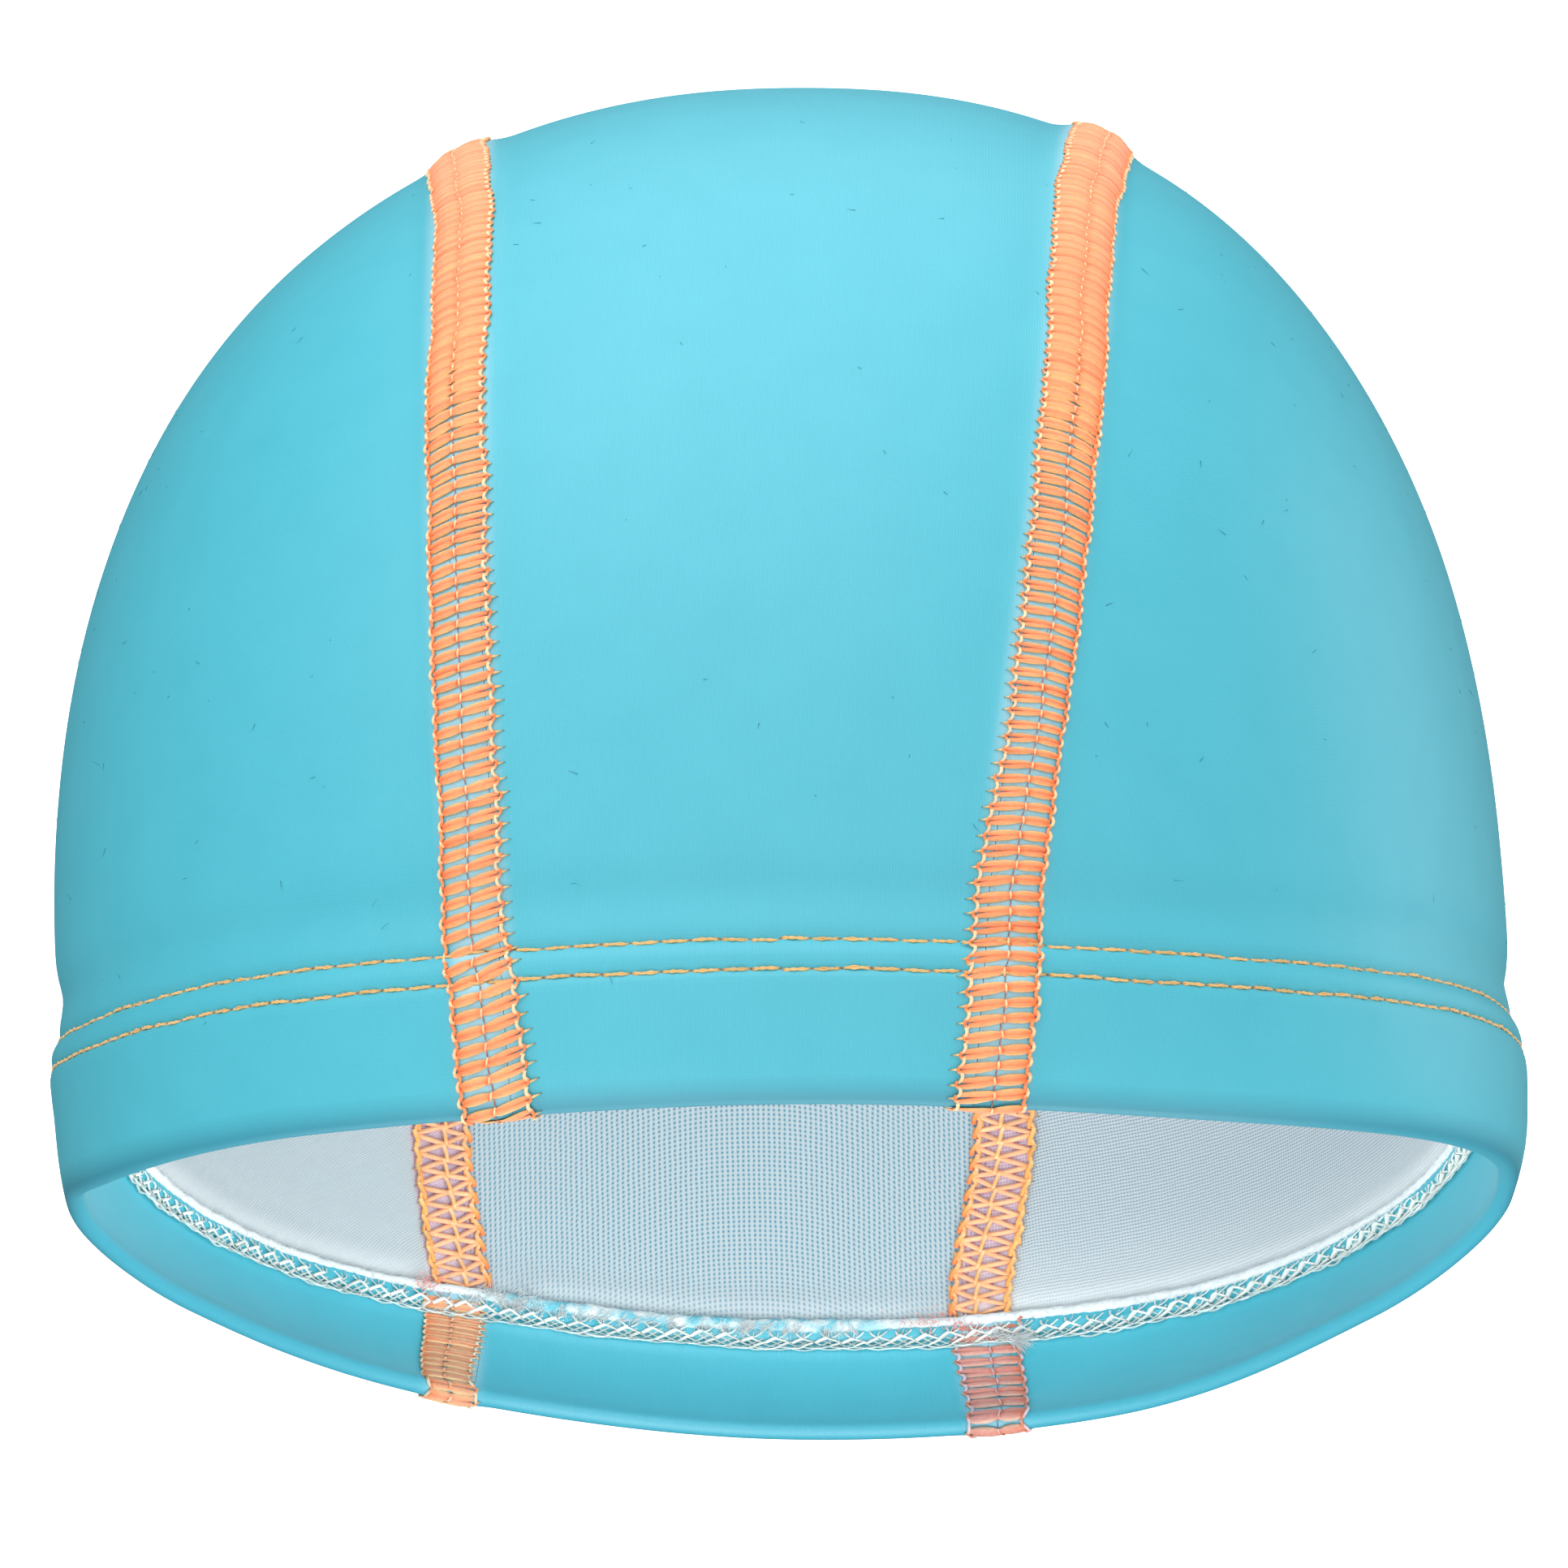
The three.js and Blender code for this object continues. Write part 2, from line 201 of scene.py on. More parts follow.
def onto_skin(p):
    """Moves a point that is near the form onto it."""
    way = growth(p)
    return p - way * (outside(p) / (way ** 2).sum(-1))[..., None]


def lifted(p, lift):
    """The place that is lift above the cloth's outside at a point of it."""
    return p + outward(p) * np.asarray(lift)[..., None]


print("top of the form", round(float(skin_point(0.0, 125.6)[2]), 1), "mm")

# %% [markdown]
# The seams run from the forehead over the crown to the nape. A seam is a line on the form that is met
# from the middle of the head: the turn is 0 straight ahead, 90 degrees at the crown and 180 at the back.
# The hem is cloth that goes down to the rim, round a tight fold and up again inside, so a place in it is
# given by how far it is along the cloth: past the fold the same cloth is a second layer.

# %% Sizes of the seams and the hem
CLOTH = 1.1
HEM_CLOTH = 2.3
HALF_HEM = HEM_CLOTH / 2
HEM_HEIGHT = 19.4
FOLD_LENGTH = math.pi * HALF_HEM
HALVINGS = 26
UPPER_ROW = 17.8
LOWER_ROW = 14.7
SEAM_HALF = 3.6
TOWARD_CENTRE = {"right": 1, "left": -1}

# turn in degrees: how far the doubled cloth of a seam stands up
SEAM_RISE = {
    "right": [(-8, 0.2), (10, 0.3), (40, 0.45), (65, 0.65), (90, 0.75), (130, 0.6), (165, 0.4), (200, 0.2),
              (216, 0.2)],
    "left": [(-8, 0.2), (10, 0.35), (40, 0.5), (65, 1), (90, 1.25), (130, 1), (165, 0.5), (200, 0.2),
             (216, 0.2)],
}
# turn in degrees: how far the seam is from the middle
SEAM = {
    "right": [(-8, -30.2), (10, -32.4), (30, -34.2), (47, -34.9), (65, -35.4), (90, -36.2), (120, -38.5),
              (150, -41.5), (175, -42.8), (193, -42.3), (205, -40), (216, -40.4)],
    "left": [(-8, 21.4), (10, 24), (30, 28.6), (47, 31.4), (65, 33.3), (90, 35.8), (120, 36), (150, 32.5),
             (175, 29), (193, 27), (205, 24.3), (216, 26)],
}


# %% Places seen from the middle of the head
def last_true(low, high, test):
    """The place between low and high where a test stops being true."""
    for _ in range(HALVINGS):
        middle = (low + high) / 2
        good = test(middle)
        low = np.where(good, middle, low)
        high = np.where(good, high, middle)
    return (low + high) / 2


def turned_point(x, turn):
    """The point of the form at x that is seen from the middle of the head at a turn from straight ahead."""
    x, turn = np.broadcast_arrays(np.asarray(x, float), np.asarray(turn, float))

    def at(reach):
        return np.stack([x, MIDDLE_Y - reach * np.cos(turn), WIDEST_HEIGHT + reach * np.sin(turn)], -1)

    def within(reach):
        return (at(reach)[..., 2] < WIDEST_HEIGHT + CROWN_RISE) & (outside(at(reach)) < 0)

    return at(last_true(0 * turn, 0 * turn + 2 * FRONT_DEPTH, within))


def turn_of(p):
    """The turn from straight ahead at which a point is seen from the middle of the head."""
    turn = np.arctan2(p[..., 2] - WIDEST_HEIGHT, MIDDLE_Y - p[..., 1])
    return np.where(turn < -math.pi / 2, turn + 2 * math.pi, turn)


# %% How the cloth stands up at its stitches
def seam_offset(side, p):
    """How far a point is beside a seam, to the wearer's left, and its turn in degrees."""
    turn = np.degrees(turn_of(p))
    return p[..., 0] - through(SEAM[side], turn), turn


def seam_ridge(side, offset, turn):
    """How far the cloth stands up across a seam, as a pad with round shoulders. Turn is in degrees."""
    return through(SEAM_RISE[side], turn) * np.exp(-np.abs(offset / SEAM_HALF) ** 3.4)


def ridge_at(p):
    return sum(seam_ridge(side, *seam_offset(side, p)) for side in SEAM)


def near_seam(p):
    """1 at a seam and 0 a few millimetres beside it."""
    return sum(np.exp(-(seam_offset(side, p)[0] / 3.2) ** 6) for side in SEAM)


def relief(above):
    """How far the stitch rows pull the cloth in, and how far the cloth rises between them. A groove is
    wider above its row than below it."""
    rows = (UPPER_ROW, LOWER_ROW)
    groove = sum(np.exp(-((above - row) / np.where(above > row, 0.85, 0.42)) ** 2) for row in rows)
    channel = np.exp(-((above - (UPPER_ROW + LOWER_ROW) / 2) / 0.95) ** 2)
    dip = np.exp(-((above - 23) / 2.7) ** 2)
    return -0.42 * groove + 0.26 * channel - 0.6 * dip


# %% Places in the hem
def turn_above(path, above, behind):
    """The turn at which a path of points over the crown meets a line in the hem, in front or behind."""
    high, low = np.radians((135, 225) if behind else (45, -12))

    def over_line(turn):
        p = path(turn)
        return p[..., 2] > hem_level(around_of(p), above)

    return last_true(0 * above + high, 0 * above + low, over_line)


def above_at(rise):
    """How far up from the rim a place in the hem is, on either side of the fold."""
    return HALF_HEM + np.maximum(0, rise) + np.maximum(0, -rise - FOLD_LENGTH)


def hem_place(around, rise, lift):
    """A place in the hem. Rise is measured up the outside from the fold, and below 0 it goes on round the
    fold and up the layer inside. Lift is out from the cloth's face."""
    around, rise, lift = np.broadcast_arrays(around, rise, lift)
    turned = np.clip(-rise / HALF_HEM, 0, math.pi)[..., None]
    p = skin_point(around, hem_level(around, above_at(rise)))
    out = outward(p)
    down = unit(np.array([0, 0, -1.0]) - out * -out[..., 2:])
    way = out * np.cos(turned) + down * np.sin(turned)
    return p - out * HALF_HEM + way * (HALF_HEM + lift)[..., None]


def inside_hem(around, above, lift):
    """A place on the layer inside the hem. Above is measured up from the rim, and lift is towards the
    head."""
    return hem_place(around, -FOLD_LENGTH - (above - HALF_HEM), lift)


# %% Places beside a seam
def seam_line(side):
    """Points along a seam from the fold in front to the fold behind, with their distances and the way
    across."""
    def path(turn):
        return turned_point(through(SEAM[side], np.degrees(turn)), turn)

    ends = [float(turn_above(path, np.array(HALF_HEM), behind)) for behind in (False, True)]
    turns = np.linspace(ends[0], ends[1], 500)
    points = path(turns)
    lengths = arc_lengths(points)
    sideways = unit(np.cross(np.gradient(points, axis=0), outward(points)))
    return {"points": points, "lengths": lengths, "sideways": sideways, "above": above_rim(points),
            "end": lengths[-1], "turn": np.degrees(turns), "side": side}


def along_line(line, name, along):
    values = line[name]
    if values.ndim == 1:
        return np.interp(along, line["lengths"], values)
    return np.stack([np.interp(along, line["lengths"], values[:, k]) for k in range(3)], -1)


def beside_seam(line, along, offset, lift):
    """Places beside a seam: how far along, how far across (positive is the wearer's left), how far off
    the cloth. Before its start and after its end the place is in the fold, and then on the layer
    inside."""
    along, offset, lift = np.broadcast_arrays(*(np.asarray(v, float) for v in (along, offset, lift)))
    end = line["end"]
    past = np.maximum(np.maximum(-along, along - end), 0)
    back_up = np.maximum(0, past - FOLD_LENGTH)
    on_line = np.where(along > end / 2, np.minimum(along, end) - back_up, np.maximum(along, 0) + back_up)
    p = along_line(line, "points", on_line) + along_line(line, "sideways", on_line) * offset[..., None]
    p = onto_skin(onto_skin(p))
    from_end = np.minimum(on_line, end - on_line)
    around = around_of(p)
    above = along_line(line, "above", on_line)
    level_with_line = skin_point(around, hem_level(around, above))
    p = mix(level_with_line, p, ease(from_end, 0, 25)[..., None])
    lift = lift + seam_ridge(line["side"], offset, along_line(line, "turn", on_line))
    over = lifted(p, lift + relief(above))
    return np.where((past > 0)[..., None], hem_place(around_of(p), -past, lift), over)


LINES = {side: seam_line(side) for side in SEAM}
for side, line in LINES.items():
    print(side, "seam", round(float(line["end"])), "mm from fold to fold")

# %% [markdown]
# A few helpers stand for what is done by hand again and again: clearing the selection, laying a grid out,
# moving its points onto the form, and keeping values on points for a material to read.

# %% Selecting and laying out
def clear_selection():
    if bpy.context.object and bpy.context.object.mode != "OBJECT":
        bpy.ops.object.mode_set(mode="OBJECT")
    bpy.ops.object.select_all(action="DESELECT")


def pick(piece):
    clear_selection()
    piece.select_set(True)
    bpy.context.view_layer.objects.active = piece


def apply_modifiers(piece):
    pick(piece)
    for modifier in list(piece.modifiers):
        bpy.ops.object.modifier_apply(modifier=modifier.name)


def flat_grid(name, columns, rows):
    """A flat grid of quads, and the column and row of each of its points."""
    clear_selection()
    bpy.ops.mesh.primitive_grid_add(x_subdivisions=columns, y_subdivisions=rows, size=1, calc_uvs=True)
    piece = bpy.context.object
    piece.name = name
    flat = np.empty(len(piece.data.vertices) * 3)
    piece.data.vertices.foreach_get("co", flat)
    flat = flat.reshape(-1, 3)
    column = np.rint((flat[:, 0] + 0.5) * columns).astype(int)
    row = np.rint((flat[:, 1] + 0.5) * rows).astype(int)
    return piece, column, row


def move_points(piece, points_mm):
    piece.data.vertices.foreach_set("co", (np.asarray(points_mm) * MM).ravel())
    piece.data.update()


# %% Values kept on points
FIELDS = {"FLOAT": ("value", 1), "INT": ("value", 1), "FLOAT_VECTOR": ("vector", 3),
          "FLOAT_COLOR": ("color", 4)}


def store(piece, name, kind, values):
    attribute = piece.data.attributes.new(name, kind, "POINT")
    attribute.data.foreach_set(FIELDS[kind][0], np.ravel(values))


def stored(piece, name):
    attribute = piece.data.attributes[name]
    field, width = FIELDS[attribute.data_type]
    values = np.empty(len(piece.data.vertices) * width)
    attribute.data.foreach_get(field, values)
    return values.reshape(-1, width)


def set_uv(piece, name, uv):
    """A UV map with one pair of millimetres for each point."""
    corners = np.empty(len(piece.data.loops), int)
    piece.data.loops.foreach_get("vertex_index", corners)
    layer = piece.data.uv_layers.get(name) or piece.data.uv_layers.new(name=name)
    layer.data.foreach_set("uv", np.asarray(uv)[corners].ravel())


def triangles(piece):
    return sum(len(face.vertices) - 2 for face in piece.data.polygons)


def mesh_piece(name, points_mm, faces, material):
    """A new smooth piece from points in millimetres and faces of four corners."""
    mesh = bpy.data.meshes.new(name)
    mesh.from_pydata((points_mm.reshape(-1, 3) * MM).tolist(), [], faces.tolist())
    mesh.materials.append(material)
    piece = bpy.data.objects.new(name, mesh)
    bpy.context.scene.collection.objects.link(piece)
    pick(piece)
    bpy.ops.object.shade_smooth()
    return piece


# %% [markdown]
# Knit coated on its outside has three looks: a satin face with very fine upright ribs, a pale lining of
# loops, and a pale raw edge. Each is a material of its own, because the wall is built with a slot for
# each. The ribs follow a UV map that is laid out in millimetres, so they run with the cloth and keep
# their size.

# %% Shader helpers
def add_node(tree, kind, **settings):
    node = tree.nodes.new(kind)
    for key, value in settings.items():
        setattr(node, key, value)
    return node


def link(tree, *pairs):
    for out, into in pairs:
        tree.links.new(out, into)


def maths(tree, operation, a, b=None, c=None):
    """A Math node fed by numbers or by other nodes' outputs."""
    node = add_node(tree, "ShaderNodeMath", operation=operation)
    for socket, value in zip(node.inputs, (a, b, c)):
        if value is None:
            continue
        if isinstance(value, (int, float)):
            socket.default_value = value
        else:
            tree.links.new(value, socket)
    return node.outputs[0]


def noise(tree, vector, scale, detail):
    node = add_node(tree, "ShaderNodeTexNoise")
    node.inputs["Scale"].default_value = scale
    node.inputs["Detail"].default_value = detail
    link(tree, (vector, node.inputs["Vector"]))
    return node.outputs["Fac"]


def kept_value(tree, name, output="Fac"):
    """Values that a piece keeps on its points."""
    return add_node(tree, "ShaderNodeAttribute", attribute_name=name).outputs[output]


def colour(r, g, b):
    """A colour given by its screen values from 0 to 255."""
    values = [v / 255 for v in (r, g, b)]
    return [v / 12.92 if v <= 0.04045 else ((v + 0.055) / 1.055) ** 2.4 for v in values] + [1]


def ramp(tree, factor, low, high):
    """Mixes two colours by a factor from 0 to 1. Each is three screen values or another node's output."""
    node = add_node(tree, "ShaderNodeMix", data_type="RGBA", clamp_factor=True)
    link(tree, (factor, node.inputs["Factor"]))
    colour_inputs = [s for s in node.inputs if s.type == "RGBA"]
    for socket, value in zip(colour_inputs, (low, high)):
        if isinstance(value, tuple):
            socket.default_value = colour(*value)
        else:
            tree.links.new(value, socket)
    return next(s for s in node.outputs if s.type == "RGBA")


def bump(tree, shader, height, distance):
    node = add_node(tree, "ShaderNodeBump")
    node.inputs["Distance"].default_value = distance * MM
    link(tree, (height, node.inputs["Height"]), (node.outputs["Normal"], shader.inputs["Normal"]))


def plain_material(name, base, roughness):
    material = bpy.data.materials.new(name)
    material.use_nodes = True
    shader = material.node_tree.nodes["Principled BSDF"]
    shader.inputs["Base Color"].default_value = colour(*base)
    shader.inputs["Roughness"].default_value = roughness
    return material, material.node_tree, shader


# %% A shader group for knit ribs
def new_group(name, inputs, outputs):
    tree = bpy.data.node_groups.new(name, "ShaderNodeTree")
    for label, kind, value in inputs:
        socket = tree.interface.new_socket(label, in_out="INPUT", socket_type=kind)
        if value is not None:
            socket.default_value = value
    for label, kind in outputs:
        tree.interface.new_socket(label, in_out="OUTPUT", socket_type=kind)
    return tree, tree.nodes.new("NodeGroupInput"), tree.nodes.new("NodeGroupOutput")


def make_rib_group():
    """Ribs, and the small loops along them, from a UV map in millimetres. Turn is the way that they run, in
    radians from upright. Dots is 1 in the small holes between the loops."""
    tree, given, out = new_group(
        "knit ribs",
        [("Cloth", "NodeSocketVector", None), ("Turn", "NodeSocketFloat", 0.0),
         ("Rib pitch", "NodeSocketFloat", 0.3), ("Loop pitch", "NodeSocketFloat", 0.35),
         ("Loop share", "NodeSocketFloat", 0.3)],
        [("Height", "NodeSocketFloat"), ("Dots", "NodeSocketFloat")])
    split = add_node(tree, "ShaderNodeSeparateXYZ")
    link(tree, (given.outputs["Cloth"], split.inputs[0]))
    x, y = split.outputs["X"], split.outputs["Y"]
    cosine = maths(tree, "COSINE", given.outputs["Turn"])
    sine = maths(tree, "SINE", given.outputs["Turn"])
    across = maths(tree, "MULTIPLY_ADD", y, sine, maths(tree, "MULTIPLY", x, cosine))
    along = maths(tree, "SUBTRACT", maths(tree, "MULTIPLY", y, cosine), maths(tree, "MULTIPLY", x, sine))
    uneven = maths(tree, "SUBTRACT", noise(tree, given.outputs["Cloth"], 0.5, 2), 0.5)
    across = maths(tree, "ADD", across, maths(tree, "MULTIPLY", uneven, 0.25))

    def wave(place, pitch):
        turns = maths(tree, "DIVIDE", place, given.outputs[pitch])
        return maths(tree, "SINE", maths(tree, "MULTIPLY", turns, 2 * math.pi))

    rib, loop = wave(across, "Rib pitch"), wave(along, "Loop pitch")
    both = maths(tree, "MULTIPLY_ADD", loop, given.outputs["Loop share"], rib)
    height = maths(tree, "MULTIPLY_ADD", both, 0.4, 0.5)
    low_rib = maths(tree, "POWER", maths(tree, "MULTIPLY_ADD", rib, -0.5, 0.5), 1.6)
    low_loop = maths(tree, "MULTIPLY_ADD", loop, -0.5, 0.5)
    dots = maths(tree, "MULTIPLY", low_rib, maths(tree, "MULTIPLY_ADD", low_loop, 0.88, 0.12))
    link(tree, (height, out.inputs["Height"]), (dots, out.inputs["Dots"]))
    return tree


RIBS = make_rib_group()
print("shader group made:", RIBS.name)


def rib_node(tree, **values):
    """The ribs on a cloth's own millimetres: these coordinates, the height of the ribs and their dots."""
    cloth = add_node(tree, "ShaderNodeUVMap", uv_map="cloth_mm").outputs["UV"]
    ribs = add_node(tree, "ShaderNodeGroup", node_tree=RIBS)
    link(tree, (cloth, ribs.inputs["Cloth"]))
    for label, value in values.items():
        ribs.inputs[label.replace("_", " ")].default_value = value
    return cloth, ribs.outputs["Height"], ribs.outputs["Dots"]


# %% Cloth materials
def make_coated_face():
    """Satin turquoise. Its coating gives a wide soft shine where a light stands above it."""
    material, tree, shader = plain_material("coated_face", (64, 190, 212), 0.6)
    shader.inputs["Specular IOR Level"].default_value = 0.05
    shader.inputs["Coat Weight"].default_value = 1
    shader.inputs["Coat IOR"].default_value = 1.9
    shader.inputs["Coat Roughness"].default_value = 0.52
    cloth, ribs, _ = rib_node(tree, Rib_pitch=0.3, Loop_pitch=0.42, Loop_share=0.25)
    grain = noise(tree, cloth, 2.6, 4)
    tone = maths(tree, "MULTIPLY_ADD", noise(tree, cloth, 0.12, 5), 0.45, maths(tree, "MULTIPLY", ribs, 0.35))
    tone = maths(tree, "MULTIPLY_ADD", grain, 0.35, tone)
    base = ramp(tree, tone, (44, 180, 202), (68, 196, 217))
    # Under each ladder the cloth is painted lighter: painted light that fills the shade between the bars.
    base = ramp(tree, maths(tree, "MULTIPLY", kept_value(tree, "near_seam"), 0.75), base, (176, 222, 240))
    # Round the fold at the rim the cloth is painted darker: painted shade.
    base = ramp(tree, kept_value(tree, "fold"), base, (32, 152, 176))
    link(tree, (base, shader.inputs["Base Color"]))
    bump(tree, shader, maths(tree, "MULTIPLY_ADD", grain, 0.5, ribs), 0.02)
    return material


def make_lining(name, turn, rib_pitch, loop_pitch, ground, dot, glow):
    """Pale loops with darker holes between them, and a lilac cast under the threads of a seam. The pale
    raw edge throws light on the lining above it: glow is how much at the edge, and over how many
    millimetres it fades."""
    material, tree, shader = plain_material(name, ground, 0.85)
    _, height, dots = rib_node(tree, Turn=math.radians(turn), Rib_pitch=rib_pitch, Loop_pitch=loop_pitch,
                               Loop_share=0.5)
    under_net = maths(tree, "MULTIPLY_ADD", kept_value(tree, "near_seam"), 5.0, -0.5)
    lilac = ramp(tree, dots, (226, 212, 226), (176, 150, 190))
    base = ramp(tree, under_net, ramp(tree, dots, ground, dot), lilac)
    fade = maths(tree, "EXPONENT", maths(tree, "MULTIPLY", kept_value(tree, "past_edge_mm"), -1 / glow[1]))
    base = ramp(tree, maths(tree, "MULTIPLY", fade, glow[0]), base, (243, 249, 250))
    link(tree, (base, shader.inputs["Base Color"]))
    bump(tree, shader, height, 0.04)
    return material


def make_raw_edge():
    material, tree, shader = plain_material("raw_edge", (205, 222, 228), 0.9)
    fibres = noise(tree, add_node(tree, "ShaderNodeTexCoord").outputs["Object"], 3500, 3)
    link(tree, (ramp(tree, fibres, (130, 175, 190), (245, 248, 248)), shader.inputs["Base Color"]))
    bump(tree, shader, fibres, 0.1)
    return material


COATED_FACE = make_coated_face()
LININGS = {
    "centre": make_lining("lining_centre", -2, 0.645, 0.57, (186, 199, 204), (36, 127, 156), (0.5, 3)),
    "left": make_lining("lining_left", 88, 0.42, 0.4, (190, 200, 205), (102, 132, 156), (0.85, 5)),
    "right": make_lining("lining_right", 55, 0.27, 0.36, (195, 205, 208), (136, 157, 173), (0.8, 3)),
}
RAW_EDGE = make_raw_edge()
print("cloth materials made")

# %% [markdown]
# Each panel is one sheet of cloth: up from its raw edge inside the hem, round the fold, over the outside,
# and round the fold again where it ends at the rim. It starts as a flat grid. Its rows are close where
# the hem has its stitch rows, and wide where the cloth is plain. The stitches pull two grooves into the
# hem. Solidify then gives the sheet its thickness, with one material outside, one inside and one on the
# edges.

# %% The rows of a cloth sheet
PLY_DEPTH = CLOTH / 2
EDGE_GAP = 0.03
JOIN_SHIFT = 2.0

# rises up the outside of the hem, from the fold, and down round it to the raw edge inside
OUTSIDE_RISES = np.r_[0, 1.2, 2.5, np.linspace(4, 12, 6), np.linspace(12.6, 19, 20), np.linspace(19.8, 28, 8)]
INSIDE_RISES = np.r_[0, -FOLD_LENGTH * np.array([0.17, 0.33, 0.5, 0.67, 0.83, 1.0]),
                     -FOLD_LENGTH - np.r_[1.5, 3.5, 6, 8.5, 11,
                                          np.linspace(12.2, HEM_HEIGHT - HALF_HEM, 8)]][::-1]
HEM_RISES = np.r_[INSIDE_RISES, OUTSIDE_RISES[1:]]
TOP_RISE = HEM_RISES[-1]
FOLD_ROW = int(np.argmin(np.abs(HEM_RISES + FOLD_LENGTH / 2)))


def sheet_in_hem(around, rise):
    above = above_at(rise)
    pull = relief(above) * np.where(rise < 0, -1, 1)
    ridge = ridge_at(skin_point(around, hem_level(around, above)))
    return hem_place(around, rise, -PLY_DEPTH + pull + ridge)


def sheet_over(p):
    return lifted(p, -PLY_DEPTH + relief(above_rim(p)) + ridge_at(p))


def crowded(t, share):
    """Even steps from 0 to 1 that crowd together at both ends, where a seam's ridge needs them."""
    return t - share * np.sin(2 * math.pi * t) / (2 * math.pi)


def fold_shade_mask(along, folds):
    """1 where the cloth turns round at the rim, and 0 some millimetres from there: the mask of the painted
    shade round the fold. Folds are the rows of the turn, and for each of them the way to the raw edge, 1 or
    -1."""
    total = 0 * along
    for fold_row, way in folds:
        to_edge = (along - along[fold_row]) * way + 1
        total = np.maximum(total, np.exp(-(to_edge / np.where(to_edge > 0, 1.9, 1.3)) ** 2))
    return total


# %% Finishing a sheet of cloth
def finish_cloth(name, points, lining, folds):
    """Makes a sheet from a grid of points, with UVs in millimetres, materials and thickness."""
    rows, columns = points.shape[:2]
    piece, column, row = flat_grid(name, columns - 1, rows - 1)
    move_points(piece, points[row, column])
    across = arc_lengths(points, axis=1)
    across = across - across[:, columns // 2][:, None]
    along = arc_lengths(points)
    set_uv(piece, "cloth_mm", np.stack([across[row, column], along[row, column]], -1))
    past_edge = np.clip(above_rim(points) - HEM_HEIGHT - 1, 0, 60)
    # On the coated face near_seam paints light under the ladders, and fold paints shade round the rim.
    kept = {"near_seam": near_seam(points), "fold": fold_shade_mask(along, folds), "past_edge_mm": past_edge}
    for name, values in kept.items():
        store(piece, name, "FLOAT", values[row, column])
    for material in (COATED_FACE, lining, RAW_EDGE):
        piece.data.materials.append(material)
    wall = piece.modifiers.new("thickness", "SOLIDIFY")
    wall.thickness = CLOTH * MM
    wall.offset = 0
    wall.material_offset = 1
    wall.material_offset_rim = 2
    apply_modifiers(piece)
    bpy.ops.object.shade_smooth_by_angle(angle=math.radians(50))
    print(piece.name, triangles(piece), "triangles")
    return piece


# %% The centre panel
CENTRE_COLUMNS = 110
CENTRE_OVER = 110


def centre_points():
    share = crowded(np.linspace(0, 1, CENTRE_COLUMNS + 1), 0.4)

    def path(turn):
        shift = EDGE_GAP + JOIN_SHIFT
        right = through(SEAM["right"], np.degrees(turn)) + shift
        left = through(SEAM["left"], np.degrees(turn)) - shift
        return turned_point(mix(right, left, share), turn)

    above = np.repeat(above_at(HEM_RISES)[:, None], CENTRE_COLUMNS + 1, axis=1)
    rise = np.repeat(HEM_RISES[:, None], CENTRE_COLUMNS + 1, axis=1)
    front, back = [turn_above(path, above, behind) for behind in (False, True)]
    t = np.linspace(0, 1, CENTRE_OVER + 1)[1:-1, None]
    over = sheet_over(path(mix(front[-1], back[-1], t)))
    hems = [sheet_in_hem(around_of(path(turn)), rise) for turn in (front, back)]
    return np.concatenate([hems[0], over, hems[1][::-1]])


grid = centre_points()
folds = [(FOLD_ROW, -1), (len(grid) - 1 - FOLD_ROW, 1)]
CLOTHS = {"centre_panel": finish_cloth("centre_panel_cloth", grid, LININGS["centre"], folds)}

# %% The side panels
SIDE_COLUMNS = 180
SIDE_OVER = 90


def side_points(side):
    sign = -TOWARD_CENTRE[side]
    ear = sign * math.pi / 2
    shift = sign * (EDGE_GAP - JOIN_SHIFT)
    line_top = float(turned_point(through(SEAM[side], 90) + shift, math.pi / 2)[2]) - 0.12

    def in_panel(around, height):
        p = skin_point(around, height)
        seam = through(SEAM[side], np.degrees(turn_of(p))) + shift
        return sign * (p[..., 0] - seam) > 0

    def ring(height_at, count):
        start = np.full((count, 1), ear)
        front = last_true(start, 0 * start, lambda a: in_panel(a, height_at(a)))
        back = last_true(start, 2 * start, lambda a: in_panel(a, height_at(a)))
        if sign < 0:
            front, back = back, front
        around = mix(front, back, crowded(np.linspace(0, 1, SIDE_COLUMNS + 1), 0.55)[None, :])
        return around, height_at(around)

    rise = HEM_RISES[:, None]
    around, _ = ring(lambda a: hem_level(a, above_at(rise)), len(rise))
    hem = sheet_in_hem(around, rise + 0 * around)
    t = np.sin(np.linspace(0, math.pi / 2, SIDE_OVER + 1)[1:, None])
    around, height = ring(lambda a: mix(hem_level(a, HALF_HEM + TOP_RISE), line_top, t), SIDE_OVER)
    return np.concatenate([hem, sheet_over(skin_point(around, height))])


for side in ("left", "right"):
    node = side + "_side_panel"
    CLOTHS[node] = finish_cloth(node + "_cloth", side_points(side), LININGS[side], [(FOLD_ROW, -1)])

# %% [markdown]
# Each seam is sewn with several needles, and its threads make a ladder that is seen from outside and a
# net of zigzags that is seen from inside. All of it repeats with every stitch. So one stitch is made from
# a few strands, laid out flat, and then copied along the seam. A strand starts as a path curve with a
# round bevel, and is turned into a mesh. Its thread colour is kept in a colour attribute, and painted light
# with it: a painted highlight where the thread bends and painted shade where it dives into the cloth.

# %% Strands of thread
def smooth_line(points, count):
    at = np.linspace(0, 1, len(points))
    t = np.linspace(0, 1, count)
    return np.stack([through(np.stack([at, np.array(points, float)[:, k]], 1), t) for k in range(3)], -1)


